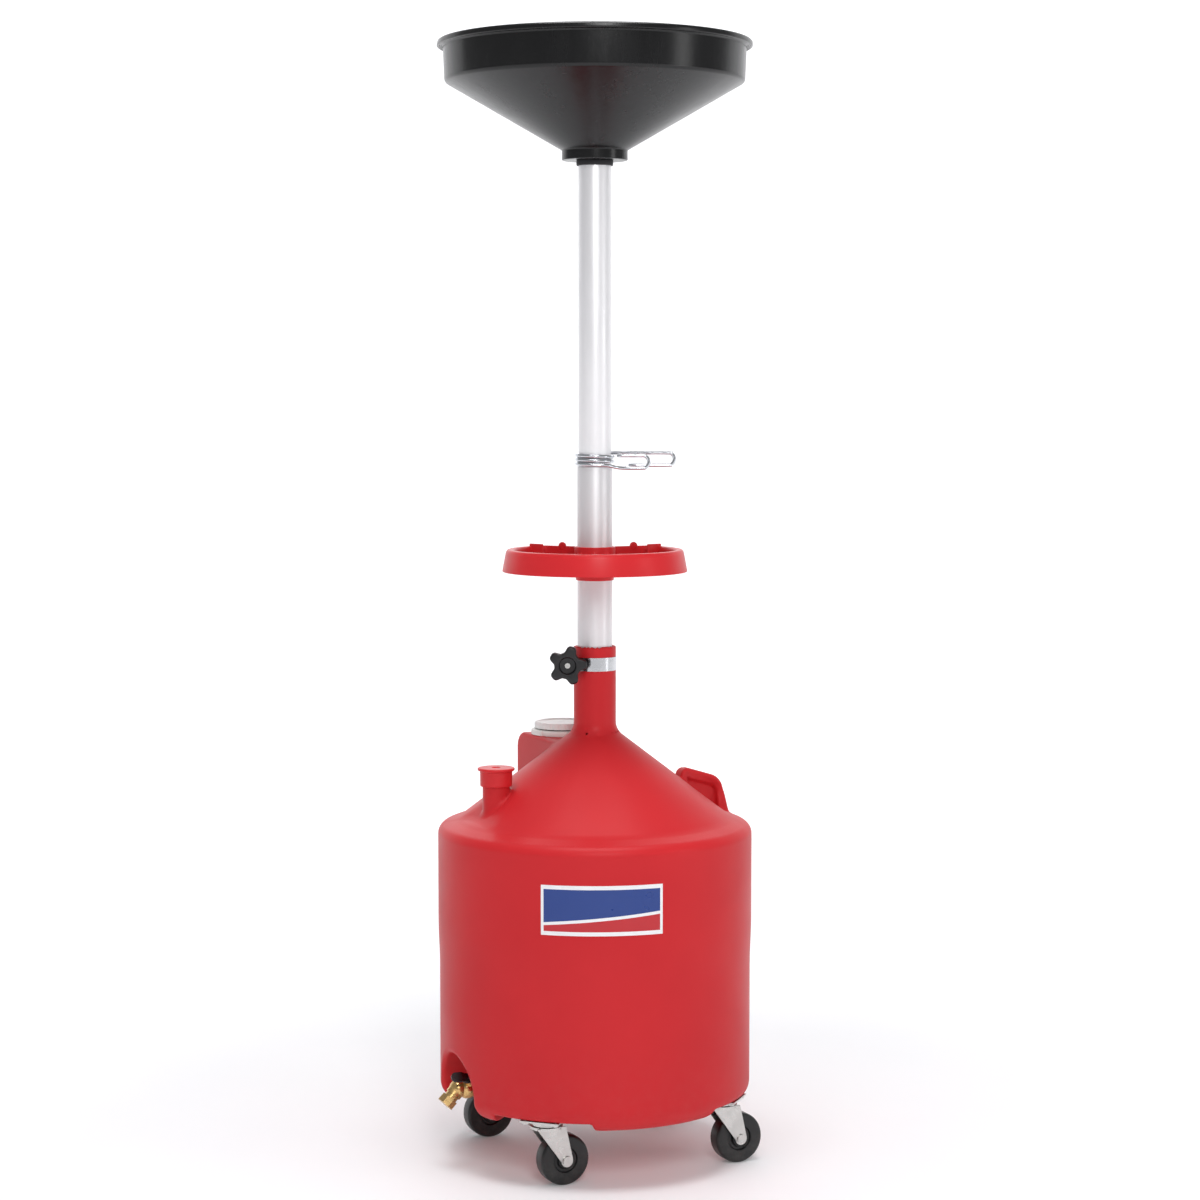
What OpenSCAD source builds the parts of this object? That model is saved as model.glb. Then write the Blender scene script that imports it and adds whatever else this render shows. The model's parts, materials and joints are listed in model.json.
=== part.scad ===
// Mobile oil drainer: a wheeled tank, a two-stage telescopic column with a tool tray,
// and a collecting bowl on top. Millimetres, +Z up, origin on the floor under the tank's
// axis. -Y is the front, -X is the drain valve's side, +X the handle's, +Y the filler's.

/* [Tank] */
// Outside diameter of the tank's wall
tank_d = 470; // [380:1:600]
// Thickness of the moulded wall
tank_wall = 5; // [3:0.5:8]
// Height of the tank's bottom above the tops of the wheels
tank_over_wheel = 11; // [8:1:30]
// Depth of the flat pads that the casters are screwed to
pad_depth = 14; // [10:1:20]
// Width of each caster pad
pad_w = 150; // [110:1:170]
// Height of the bottom of the neck, where the cone ends
neck_base = 641; // [560:1:760]
// Height of the top of the neck above its base
neck_h = 126; // [90:1:180]
// Wall of the neck around the tube
neck_wall = 5.2; // [3.5:0.1:8]
// Slope of the cone
cone_a = 37.5; // [30:0.5:42]
// Slope of the narrow shelf outside the cone
shelf_a = 20; // [10:1:28]
// Width of the shelf and the rounded shoulder together
shelf_w = 32; // [24:1:40]
// Radius of the rounded shoulder
shoulder_r = 16; // [8:1:20]
// Radius of the rounded bottom edge
bottom_r = 28; // [12:1:40]
// How far the lower wall steps in below the label's band
wall_step = 2; // [0:0.5:4]

/* [Filler] */
// Width of the raised box that carries the filler cap
box_w = 100; // [100:1:120]
// Distance of the box's outer face inside the tank's side
box_in = 52; // [35:1:60]
// How far the box's top lies below the bottom of the neck
box_drop = 20; // [12:1:30]
// Distance of the filler's axis inside the box's outer face
fill_in = 63; // [59:1:73]
// Radius of the filler's white flange
fill_flange_r = 48; // [44:1:50]
// Radius of the filler's mouth in the box
fill_mouth_r = 36; // [30:1:38]

/* [Suction port] */
// Distance of the port's axis inside the tank's side
port_in = 75; // [65:1:95]
// Outside radius of the port's pipe
port_r = 20; // [14:1:24]
// Height of the pipe's mouth above the cone beneath it
port_h = 46; // [36:1:70]

/* [Carrying handle] */
// Width of the handle's bar
handle_w = 32; // [26:1:44]
// Thickness of the bar around the finger pocket
handle_bar = 17; // [12:1:20]
// Thickness of the web between the two finger pockets
handle_web = 6; // [4:1:10]

/* [Drain] */
// Radius of the arched recess around the valve
recess_r = 60; // [52:1:70]
// Depth of the recess into the tank
recess_depth = 75; // [66:1:90]
// Height of the valve's flow line above the tank's bottom
drain_h = 32; // [28:1:40]
// Bore of the drain fitting and valve
drain_bore_r = 7; // [5:0.5:8]
// Distance of the valve's stem from the recess's back wall
valve_reach = 48; // [44:1:54]
// Angle of the lever's stem from upright, leaning to the front
stem_lean = 45; // [0:5:60]
// Length of the lever from its stem
lever_l = 34; // [28:1:38]

/* [Column] */
// Outside diameter of the lower tube
lower_d = 52; // [46:0.5:58]
// Wall of the lower tube
lower_wall = 1.2; // [1:0.1:2]
// Length of the lower tube
lower_l = 550; // [500:1:600]
// Height of the lower tube's top above the neck's top, as it is set
lower_out = 267; // [200:1:300]
// Gap between the upper tube and the lower tube's bore
tube_gap = 0.6; // [0.4:0.1:3]
// Wall of the upper tube
upper_wall = 1.5; // [1:0.1:2.5]
// Length of the upper tube
upper_l = 592; // [500:1:640]
// Height of the upper tube's top above the lower tube's, as it is set
upper_out = 463; // [380:1:500]
// Length of the sleeve that guides the upper tube
guide_l = 60; // [30:1:80]

/* [Tray] */
// Radius of the tray at its rim
tray_r = 133; // [110:1:170]
// Width of the tray's broad rim
tray_rim = 14; // [11:1:20]
// Height of the tray's skirt
tray_h = 33; // [28:1:44]
// How far the skirt flares out at its bottom
tray_flare = 5; // [0:1:8]
// Height of the tray's bottom above the neck's top
tray_up = 111; // [100:1:150]
// Height of the hub's collar below the tray
collar_h = 13; // [6:1:20]

/* [Bowl] */
// Outside radius of the bowl at its lip
bowl_r = 232; // [190:1:280]
// Width of the bowl's lip outside its wall
bowl_lip = 9; // [5:1:14]
// Height of the bowl's upright band
bowl_band = 59; // [40:1:90]
// Slope of the bowl's cone
bowl_a = 30; // [22:1:40]
// Thickness of the bowl's wall
bowl_wall = 3; // [2:0.5:5]
// Radius of the boss under the bowl
boss_r = 48.6; // [40:0.1:60]
// Height of the boss
boss_h = 15; // [12:1:22]
// Radius of the throat through the bowl
throat_r = 20; // [14:0.5:21]

/* [Clamp and clip] */
// Height of the clamp band
band_h = 20; // [14:1:26]
// Distance of the clamp band's middle below the neck's top
band_down = 26; // [20:1:50]
// Distance of the clamp bolt's axis from the neck
bolt_gap = 8.5; // [8:0.5:14]
// Radius of the clamp bolt
bolt_r = 4; // [3:0.5:5]
// Radius of the star knob to the tips of its lobes
knob_r = 29; // [24:0.5:34]
// Turn of the clamp and tray about the column
front_turn = -25; // [-60:1:60]
// Radius of the spring clip's wire
wire_r = 2.75; // [2:0.05:3]

/* [Casters] */
// Distance of each caster's swivel inside the tank's side
caster_in = 35; // [30:1:65]
// Diameter of the wheels
wheel_d = 75; // [60:1:80]
// Width of the wheels' tread
wheel_w = 26; // [20:1:30]
// Trail of each wheel behind its swivel
trail = 25; // [18:1:30]
// Radius of the wheel axle
axle_r = 4; // [3:0.5:5]
// Width of the square mounting plate
plate_w = 60; // [58:1:70]

/* [Hidden] */
$fn = 96;

// Clearances: pieces that stay together, shafts that turn in holes, surfaces that slide past
snug = 0.05;
run = 0.08;
slip = 0.3;
// A cut runs this far past the face it opens
over = 1;

// Tank heights and radii
tank_r = tank_d / 2;
tank_bottom = wheel_d + tank_over_wheel;
pad_z = tank_bottom + pad_depth;
neck_r = lower_d / 2 + slip + neck_wall;
neck_bore_r = lower_d / 2 + slip;
neck_top = neck_base + neck_h;
neck_fillet = 8;
cone_r = tank_r - shelf_w;
shelf_end_r = tank_r - shoulder_r + shoulder_r * sin(shelf_a);
shelf_z = cone_z(cone_r);
shoulder_z = shelf_z - (shelf_end_r - cone_r) * tan(shelf_a) - shoulder_r * cos(shelf_a);
shoulder_steps = 8;
body_split = shoulder_z - 8;
neck_split = neck_base + neck_fillet + 2;
// The label's band is at the full radius, and the wall steps in over a short taper below it
label_top = shoulder_z - 40;
label_h = 72;
label_arc = 43.3;
label_turn = -21.9;
label_t = 0.5;
step_top = label_top - label_h - 14;
step_h = 70;

// Filler heights
box_top = neck_base - box_drop;
box_round = 25;
fill_flange_t = 8;
// The flange clears the cone beside the neck, and overhangs the box's flat top by this much at most
fill_overhang = 10;
fill_y = max(tank_r - box_in - fill_in, neck_r + box_drop / tan(cone_a) + fill_flange_r + 1);
box_reach = max(tank_r - box_in, fill_y + fill_flange_r + box_round - fill_overhang);
fill_z = box_top + fill_flange_t;
fill_neck_l = 18;
fill_lid_r = fill_flange_r - 5;
fill_lid_h = 11;
gasket_t = 1.5;
gasket_w = 5;

// Port heights
port_wall = 4;
port_x = tank_r - port_in;
port_z = cone_z(port_x) + port_h;
port_skirt = 23;
port_flange_t = 4;
port_cap_wall = 3.4;

// Drain places: the recess's back wall, the valve's centre, the outlet's bend and its slope
recess_cz = tank_bottom + 25;
recess_x = -(tank_r - recess_depth);
drain_z = tank_bottom + drain_h;
valve_x = recess_x - valve_reach;
fitting_r = drain_bore_r + 5;
fitting_hex = 40;
fitting_flange = 9;
ball_r = drain_bore_r + 4;
body_r = ball_r + 4;
bend_x = valve_x - ball_r - 3;
outlet_a = 45;
outlet_l = 26;
nipple_r = drain_bore_r + 3;
seat_t = 3;
seat_r = ball_r - 1.5;
stem_r = 3.5;
inlet_l = valve_reach - fitting_flange - 3;
socket_l = 14;
stem_top = body_r + 15;
gland_h = 5;
lever_t = 2.5;
lever_w = 16;
cap_r = nipple_r + 3.5;
cap_h = 12;
cap_end = 2.5;
washer_t = 1.5;

// Column heights
lower_top = neck_top + lower_out;
lower_bottom = lower_top - lower_l;
lower_bore_r = lower_d / 2 - lower_wall;
lower_lip = 3;
foot_h = 20;
foot_wall = 3.5;
upper_r = lower_bore_r - tube_gap;
upper_bore_r = upper_r - upper_wall;
upper_top = lower_top + upper_out;
upper_bottom = upper_top - upper_l;
guide_end = 5;

// Tray heights
tray_z = neck_top + tray_up;
tray_floor_t = 3;
tray_wall = 3.5;
hub_wall = 4.5;
hub_top = tray_z + 37;
tray_back = 50;
tray_dip = 41;
rib_a = 48;
rib_h = 24;

// Bowl heights, measured from the top of the upper tube
collar_r = upper_r + 3;
collar_show = 7.5;
collar_deep = 10;
boss_z = upper_top - boss_h + 2;
bowl_wall_r = bowl_r - bowl_lip;
bowl_draft = 2;
band_bottom = boss_z + boss_h + (bowl_wall_r - bowl_draft - boss_r) * tan(bowl_a);
bowl_top = band_bottom + bowl_band;

// Clamp
clamp_z = neck_top - band_down;
band_t = 1;
bolt_off = neck_r + bolt_gap;
ear_gap = 3;
ear_t = 2;
stud_front = 46;
nut_t = 6.5;
lobes = 5;
lobe_r = 7;
knob_t = 15;
knob_back = 34;

// Caster heights
plate_t = 2.5;
caster_r = tank_r - caster_in;
race_h = 7;
race_r = 21;
ball_pitch = 14;
swivel_ball_r = 2.5;
balls = 12;
crown_t = 4;
crown_r = 24;
race_gap = 1;
ball_z = pad_z - plate_t - race_h - race_gap / 2;
crown_top = ball_z - race_gap / 2;
wheel_r = wheel_d / 2;
hub_w = wheel_w + 4;
bush_r = axle_r + 2.5;
leg_t = 2.5;
leg_in = hub_w / 2 + slip + 0.4;
leg_end_r = 9;
kingpin_r = 5;
screw_r = 2.5;
screw_off = plate_w / 2 - 7;
screw_in = 12;
boss_pad = 8;

// Height of the cone's outer surface at a radius
function cone_z(r) = neck_base - (r - neck_r) * tan(cone_a);
// Points of an arc about c, from angle a0 to a1 in n steps
function arc(c, r, a0, a1, n) =
    [for (i = [0:n]) let (a = a0 + (a1 - a0) * i / n) [c[0] + r * cos(a), c[1] + r * sin(a)]];
// Half section of the tank's outside, moved in by t
function body_section(t) = concat(
    [[0, tank_bottom + t]],
    arc([tank_r - wall_step - bottom_r, tank_bottom + bottom_r], bottom_r - t, -90, 0, shoulder_steps),
    [[tank_r - wall_step - t, step_top - step_h], [tank_r - t, step_top]],
    arc([tank_r - shoulder_r, shoulder_z], shoulder_r - t, 0, 90 - shelf_a, shoulder_steps),
    [cone_corner(t)]);
// The corner between shelf and cone, mitred inwards by t
function cone_corner(t) = let (half = (cone_a - shelf_a) / 2, a = 90 - (cone_a + shelf_a) / 2)
    [cone_r - t / cos(half) * cos(a), shelf_z - t / cos(half) * sin(a)];
// Centre of the fillet between cone and neck
function fillet_c() = [neck_r + neck_fillet, cone_z(neck_r + neck_fillet) + neck_fillet / cos(cone_a)];

// ---------- tank ----------
module tank_outside() {
    rotate_extrude()
        polygon(concat(body_section(0),
            arc(fillet_c(), neck_fillet, 270 - cone_a, 180, 6),
            [[neck_r, neck_top], [0, neck_top]]));
}

module tank_inside() {
    inner_z = cone_z(neck_bore_r) - tank_wall / cos(cone_a);
    rotate_extrude()
        polygon(concat(body_section(tank_wall), [[neck_bore_r, inner_z], [0, inner_z]]));
}

// The filler's raised box, grown by t on every face
module box_solid(t) {
    rear = box_reach + t;
    top = box_top + t;
    translate([-box_w / 2 - t, 0, 0])
        rotate([90, 0, 90])
            linear_extrude(box_w + 2 * t)
                polygon(concat([[0, shelf_z - 30], [rear, shelf_z - 30]],
                    arc([rear - box_round, top - box_round], box_round, 0, 90, shoulder_steps),
                    [[0, top]]));
}

// Side view of the carrying handle, as points in X and Z
function handle_outline() = let (x0 = cone_r - 66, x1 = cone_r - 7, x2 = cone_r + 19)
    concat([[x0, cone_z(x0) - 30], [x0 + 1, cone_z(x0) + 1]],
    arc([x0 + 18, cone_z(x0) + 2], 13, 140, 70, 5),
    arc([x1 - 3, cone_z(x1) + 32], 15, 70, 8, 6),
    [[x2, cone_z(x2)], [x2, cone_z(x2) - 30]]);

module handle_solid() {
    translate([0, handle_w / 2, 0])
        rotate([90, 0, 0])
            linear_extrude(handle_w)
                polygon(handle_outline());
}

// A finger pocket on one side of the handle (side is 1 or -1), under the bar
module finger_pocket(side) {
    depth = (handle_w - handle_web) / 2;
    x0 = cone_r - 53;
    x1 = cone_r + 14 - handle_bar;
    translate([0, side > 0 ? handle_w / 2 + over : -handle_web / 2, 0])
        rotate([90, 0, 0])
            linear_extrude(depth + over)
                polygon([[x0, cone_z(x0) - 8], [x0, cone_z(x0) + 20 - handle_bar],
                    [x0 + 5, cone_z(x0) + 25 - handle_bar], [x1 - 6, cone_z(x1) + 51.5 - handle_bar],
                    [x1, cone_z(x1) + 45 - handle_bar], [x1, cone_z(x1) - 8]]);
}

// The hand's trough beside the handle: a round groove down the cone, grown by t
module hand_trough(side, t) {
    groove_r = 26;
    rise = 17;
    x0 = cone_r - 42;
    x1 = cone_r - 14;
    run_l = (x1 - x0) / cos(cone_a);
    translate([x0, side * (handle_w / 2 + 17), cone_z(x0) + rise / cos(cone_a)])
        rotate([0, 90 + cone_a, 0]) {
            cylinder(r = groove_r + t, h = run_l);
            sphere(r = groove_r + t);
            translate([0, 0, run_l])
                sphere(r = groove_r + t);
        }
}

// The drain's arched recess, grown by t
module recess(t) {
    w = recess_r + t;
    translate([recess_x + t, 0, 0])
        rotate([0, -90, 0])
            linear_extrude(recess_depth + 3 * over + t) {
                translate([recess_cz, 0])
                    circle(r = w);
                translate([tank_bottom - over, -w])
                    square([recess_cz - tank_bottom + over, 2 * w]);
            }
}

// The flat cut above each caster, grown by t
module caster_pad(t) {
    in_r = caster_r - plate_w;
    translate([in_r - t, -pad_w / 2 - t, tank_bottom - over])
        cube([tank_r, pad_w + 2 * t, pad_depth + over + t]);
}

// Puts the children at each of the four swivel axes' directions, or at all of them
function corner_angle(i) = [225, 315, 135, 45][i];

module at_corner(i) {
    rotate([0, 0, corner_angle(i)])
        translate([caster_r, 0, 0])
            rotate([0, 0, -corner_angle(i)])
                children();
}

module screw_places(i) {
    at_corner(i)
        rotate([0, 0, corner_angle(i)])
            for (x = [-1, 1], y = [-1, 1])
                translate([x * screw_off, y * screw_off, 0])
                    children();
}

module tank_cavity() {
    difference() {
        union() {
            tank_inside();
            intersection() {
                box_solid(-tank_wall);
                translate([-box_w, 0, shelf_z - 20])
                    cube([2 * box_w, tank_r, neck_base]);
            }
        }
        recess(tank_wall);
        for (i = [0:3])
            rotate([0, 0, corner_angle(i)])
                caster_pad(tank_wall);
        for (side = [-1, 1])
            hand_trough(side, tank_wall);
        for (i = [0:3])
            screw_places(i)
                translate([0, 0, pad_z])
                    cylinder(r = boss_pad, h = screw_in + tank_wall);
    }
}

module tank() {
    difference() {
        union() {
            difference() {
                union() {
                    tank_outside();
                    box_solid(0);
                    handle_solid();
                    translate([-port_x, 0, cone_z(port_x) - 2 * port_r])
                        cylinder(r = port_r, h = port_h + 2 * port_r);
                }
                for (side = [-1, 1]) {
                    hand_trough(side, 0);
                    finger_pocket(side);
                }
                recess(0);
                for (i = [0:3])
                    rotate([0, 0, corner_angle(i)])
                        caster_pad(0);
            }
            finger_webs();
        }
        tank_cavity();
        translate([0, 0, shelf_z])
            cylinder(r = neck_bore_r, h = neck_top - shelf_z + over);
        translate([-port_x, 0, cone_z(port_x) - 2 * port_r - 10])
            cylinder(r = port_r - port_wall, h = port_h + 2 * port_r + 10 + over);
        translate([0, fill_y, box_top - tank_wall - over])
            cylinder(r = fill_mouth_r, h = tank_wall + 2 * over);
        translate([recess_x - over, 0, drain_z])
            rotate([0, 90, 0])
                cylinder(r = fitting_r, h = tank_wall + 2 * over);
        for (i = [0:3])
            screw_places(i)
                translate([0, 0, pad_z - over])
                    cylinder(r = screw_r + snug, h = screw_in + over + 1);
    }
}

// The part of the tank between two heights: one moulding, kept as three pieces that meet flush
module tank_slice(z0, z1) {
    color([0.78, 0.13, 0.15])
        intersection() {
            tank();
            translate([-tank_d, -tank_d, z0])
                cube([2 * tank_d, 2 * tank_d, z1 - z0]);
        }
}

module tank_body() {
    tank_slice(0, body_split);
}

module tank_top() {
    tank_slice(body_split, neck_split);
}

module tank_neck() {
    tank_slice(neck_split, neck_top + over);
}

// The web that closes the two finger pockets off from each other, down into the cone
module finger_webs() {
    intersection() {
        translate([cone_r - 60, -handle_web / 2, cone_z(cone_r) - 20])
            cube([70, handle_web, 90]);
        handle_solid();
    }
}

module label_plate() {
    color([0.15, 0.2, 0.5])
        translate([0, 0, label_top - label_h])
            rotate([0, 0, -90 + label_turn - label_arc / 2])
                rotate_extrude(angle = label_arc)
                    translate([tank_r + snug, 0])
                        square([label_t, label_h]);
}

module port_cap() {
    bore = port_r + slip;
    color([0.8, 0.13, 0.15])
        translate([-port_x, 0, port_z - port_skirt])
            difference() {
                union() {
                    cylinder(r = bore + port_cap_wall, h = port_skirt + port_flange_t);
                    translate([0, 0, port_skirt + slip])
                        cylinder(r = bore + port_cap_wall + 3.7, h = port_flange_t);
                }
                translate([0, 0, -over])
                    cylinder(r = bore, h = port_skirt + over + slip);
                translate([0, 0, port_skirt + port_flange_t - 1.5])
                    cylinder(r = 6, h = 3);
            }
}

// ---------- filler ----------
module filler_flange() {
    color([0.93, 0.93, 0.92])
        translate([0, fill_y, 0])
            difference() {
                union() {
                    translate([0, 0, box_top + snug])
                        cylinder(r = fill_flange_r, h = fill_flange_t);
                    translate([0, 0, box_top - fill_neck_l])
                        cylinder(r = fill_mouth_r - snug, h = fill_neck_l + 1);
                }
                translate([0, 0, box_top - fill_neck_l - over])
                    cylinder(r = fill_mouth_r - 4, h = fill_neck_l + fill_flange_t + 2 * over);
            }
}

module filler_gasket() {
    color([0.1, 0.1, 0.1])
        translate([0, fill_y, fill_z + snug])
            difference() {
                cylinder(r = fill_mouth_r - 4 + gasket_w, h = gasket_t);
                translate([0, 0, -over])
                    cylinder(r = fill_mouth_r - 4, h = gasket_t + 2 * over);
            }
}

module filler_lid() {
    seat = fill_z + snug + gasket_t + slip;
    plug_r = fill_mouth_r - 4 - slip;
    color([0.96, 0.96, 0.95])
        translate([0, fill_y, 0])
            difference() {
                union() {
                    translate([0, 0, seat])
                        cylinder(r = fill_lid_r, h = fill_lid_h - gasket_t);
                    translate([0, 0, seat - fill_neck_l + 4])
                        cylinder(r = plug_r, h = fill_neck_l);
                }
                translate([0, 0, seat - fill_neck_l])
                    cylinder(r = plug_r - 3, h = fill_neck_l);
                translate([0, 0, seat + fill_lid_h - gasket_t - 2])
                    cylinder(r = fill_lid_r - 6, h = 4);
                for (k = [0:5])
                    rotate([0, 0, 60 * k + 20])
                        translate([fill_lid_r - 1.5, -3, seat - over])
                            cube([6, 6, 3.5]);
            }
}

// ---------- drain valve ----------
// Along the flow: the children's +Z runs outwards from the recess's back wall
module along_flow(x) {
    translate([x, 0, drain_z])
        rotate([0, -90, 0])
            children();
}

// The children's +Z runs down the outlet, from its bend
module along_outlet() {
    translate([bend_x, 0, drain_z])
        rotate([0, -90 - outlet_a, 0])
            children();
}

// The children's +Z runs up the valve's stem, from the ball's centre
module along_stem() {
    translate([valve_x, 0, drain_z])
        rotate([stem_lean, 0, 0])
            children();
}

module drain_fitting() {
    spigot_l = valve_reach - inlet_l + socket_l - slip;
    color([0.75, 0.6, 0.25])
        difference() {
            union() {
                along_flow(recess_x + tank_wall + 10)
                    cylinder(r = fitting_r - snug, h = tank_wall + 10 + snug);
                along_flow(recess_x - snug)
                    cylinder(r = fitting_hex / 2, h = fitting_flange, $fn = 6);
                along_flow(recess_x)
                    cylinder(r = fitting_r - 2, h = spigot_l);
            }
            along_flow(recess_x + tank_wall + 10 + over)
                cylinder(r = drain_bore_r, h = valve_reach + 40);
        }
}

module valve_body() {
    color([0.8, 0.64, 0.28])
        difference() {
            union() {
                sphere_at_valve(body_r + 1);
                along_flow(valve_x + inlet_l)
                    cylinder(r = body_r - 1, h = inlet_l);
                along_flow(valve_x + inlet_l)
                    cylinder(r = body_r + 3, h = 9, $fn = 6);
                along_flow(valve_x)
                    cylinder(r = body_r - 2, h = ball_r + 3);
                translate([bend_x, 0, drain_z])
                    sphere(r = body_r - 1.5);
                along_outlet()
                    cylinder(r = nipple_r, h = outlet_l);
                along_outlet()
                    cylinder(r = nipple_r + 2, h = 12);
                along_stem()
                    cylinder(r = stem_r + 4, h = body_r + 5);
            }
            along_flow(valve_x + inlet_l + over)
                cylinder(r = fitting_r - 2 + snug, h = socket_l + over);
            along_flow(valve_x + inlet_l + over)
                cylinder(r = drain_bore_r, h = inlet_l);
            along_flow(valve_x + ball_r + slip + seat_t)
                cylinder(r = seat_r + snug, h = 2 * (ball_r + slip + seat_t));
            sphere_at_valve(ball_r + slip);
            along_flow(valve_x)
                cylinder(r = drain_bore_r, h = ball_r + 3);
            translate([bend_x, 0, drain_z])
                sphere(r = drain_bore_r + 0.7);
            along_outlet()
                cylinder(r = drain_bore_r, h = outlet_l + over);
            along_stem()
                cylinder(r = stem_r + run, h = body_r + 5 + over);
        }
}

module sphere_at_valve(r) {
    translate([valve_x, 0, drain_z])
        sphere(r = r);
}

module valve_ball() {
    slot = 3;
    color([0.85, 0.86, 0.88])
        difference() {
            sphere_at_valve(ball_r);
            along_flow(valve_x + 2 * ball_r)
                cylinder(r = drain_bore_r - 0.5, h = 4 * ball_r);
            along_stem()
                translate([-slot / 2, -ball_r, ball_r - 3])
                    cube([slot, 2 * ball_r, 5]);
        }
}

module valve_seats() {
    color([0.95, 0.95, 0.93])
        for (x = [valve_x + ball_r + slip + seat_t, valve_x - ball_r - slip])
            along_flow(x)
                difference() {
                    cylinder(r = seat_r, h = seat_t);
                    translate([0, 0, -over])
                        cylinder(r = drain_bore_r, h = seat_t + 2 * over);
                }
}

module valve_stem() {
    tang = 2.9;
    color([0.8, 0.65, 0.3])
        along_stem() {
            translate([0, 0, ball_r + slip])
                cylinder(r = stem_r, h = stem_top - ball_r - slip);
            translate([-tang / 2, -stem_r + 0.6, ball_r - 2.8])
                cube([tang, 2 * stem_r - 1.2, 2.8 + 2 * slip]);
        }
}

module gland_nut() {
    color([0.78, 0.62, 0.27])
        along_stem()
            translate([0, 0, body_r + 5 + snug])
                difference() {
                    cylinder(r = stem_r + 4.6, h = gland_h, $fn = 6);
                    translate([0, 0, -over])
                        cylinder(r = stem_r + run, h = gland_h + 2 * over);
                }
}

// Side view of the lever's strip, as points along its length and up its stem
function lever_strip() = let (z = stem_z_lever(), u = lever_t)
    [[-8, z], [9, z], [18, z + 6], [lever_l, z + 6], [lever_l, z + 6 + u],
    [17.2, z + 6 + u], [8.2, z + u], [-8, z + u]];
function stem_z_lever() = body_r + 5 + gland_h + slip + snug;

module valve_lever() {
    color([0.09, 0.09, 0.1])
        along_stem()
            difference() {
                intersection() {
                    rotate([0, 0, 180])
                        translate([0, lever_w / 2, 0])
                            rotate([90, 0, 0])
                                linear_extrude(lever_w)
                                    polygon(lever_strip());
                    union() {
                        cylinder(r = lever_w / 2, h = 60);
                        translate([-lever_l + lever_w / 2, 0, 0])
                            cylinder(r = lever_w / 2, h = 60);
                        translate([-lever_l + lever_w / 2, -lever_w / 2, 0])
                            cube([lever_l - lever_w / 2, lever_w, 60]);
                    }
                }
                cylinder(r = stem_r + snug, h = 60);
            }
}

module lever_nut() {
    color([0.82, 0.83, 0.85])
        along_stem()
            translate([0, 0, stem_z_lever() + lever_t + snug])
                difference() {
                    cylinder(r = 6, h = 4, $fn = 6);
                    translate([0, 0, -over])
                        cylinder(r = stem_r + snug, h = 6);
                }
}

module outlet_cap() {
    color([0.82, 0.66, 0.28])
        along_outlet()
            translate([0, 0, outlet_l + washer_t + slip + cap_end - cap_h])
                difference() {
                    cylinder(r = cap_r, h = cap_h, $fn = 8);
                    translate([0, 0, -over])
                        cylinder(r = nipple_r + run, h = cap_h - cap_end + over);
                }
}

module outlet_washer() {
    color([0.08, 0.08, 0.08])
        along_outlet()
            translate([0, 0, outlet_l + snug])
                difference() {
                    cylinder(r = nipple_r - 0.2, h = washer_t);
                    translate([0, 0, -over])
                        cylinder(r = drain_bore_r, h = washer_t + 2 * over);
                }
}

// ---------- clamp ----------
// The clamp's own frame: its ears point to -X and its stud runs along Y, knob to the front
module at_clamp() {
    translate([0, 0, clamp_z])
        rotate([0, 0, front_turn])
            children();
}

// The children's +Z runs along the stud, out through the knob
module along_stud(y) {
    at_clamp()
        translate([-bolt_off, y, 0])
            rotate([90, 0, 0])
                children();
}

module clamp_band() {
    in_r = neck_r + snug;
    ear_l = bolt_off + bolt_r + 3 - in_r;
    color([0.83, 0.84, 0.86])
        difference() {
            at_clamp() {
                translate([0, 0, -band_h / 2])
                    difference() {
                        union() {
                            cylinder(r = in_r + band_t, h = band_h);
                            for (side = [-1, 1])
                                translate([-in_r - ear_l, side * (ear_gap + ear_t / 2) - ear_t / 2, 0])
                                    cube([ear_l + 1, ear_t, band_h]);
                        }
                        translate([0, 0, -over])
                            cylinder(r = in_r, h = band_h + 2 * over);
                        translate([-in_r - 2 * band_t, -ear_gap, -over])
                            cube([3 * band_t, 2 * ear_gap, band_h + 2 * over]);
                    }
            }
            along_stud(stud_front)
                cylinder(r = bolt_r + run, h = 2 * stud_front);
        }
}

module clamp_stud() {
    color([0.85, 0.86, 0.88])
        along_stud(ear_gap + ear_t + nut_t + 3)
            cylinder(r = bolt_r, h = ear_gap + ear_t + nut_t + 3 + stud_front);
}

module clamp_nut() {
    color([0.8, 0.81, 0.83])
        along_stud(ear_gap + ear_t + nut_t + snug)
            difference() {
                cylinder(r = 1.85 * bolt_r, h = nut_t, $fn = 6);
                translate([0, 0, -over])
                    cylinder(r = bolt_r + run, h = nut_t + 2 * over);
            }
}

module star_knob() {
    hub_r = bolt_off - neck_r - band_t - 1.2 + 4;
    neck_hub = 6;
    lobe_c = knob_r - lobe_r;
    color([0.07, 0.07, 0.08])
        difference() {
            union() {
                along_stud(-ear_gap - ear_t - slip)
                    cylinder(r = neck_hub, h = knob_back);
                along_stud(-knob_back + 14)
                    cylinder(r = hub_r, h = 16);
                along_stud(-knob_back)
                    linear_extrude(knob_t)
                        star_outline(lobe_c);
            }
            along_stud(-knob_back - knob_t + 5)
                cylinder(r = 11.5, h = 10);
            along_stud(0)
                cylinder(r = bolt_r + snug, h = 80);
        }
}

// Five round lobes on a core, joined by waists
module star_outline(lobe_c) {
    circle(r = knob_r - 1.6 * lobe_r);
    for (k = [0:lobes - 1])
        rotate([0, 0, 360 / lobes * k + 4]) {
            translate([lobe_c, 0])
                circle(r = lobe_r);
            polygon([[0, -lobe_r - 3], [lobe_c, -lobe_r], [lobe_c, lobe_r], [0, lobe_r + 3]]);
        }
}

// ---------- column ----------
module tube(r, wall, z0, z1) {
    translate([0, 0, z0])
        difference() {
            cylinder(r = r, h = z1 - z0);
            translate([0, 0, -over])
                cylinder(r = r - wall, h = z1 - z0 + 2 * over);
        }
}

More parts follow.
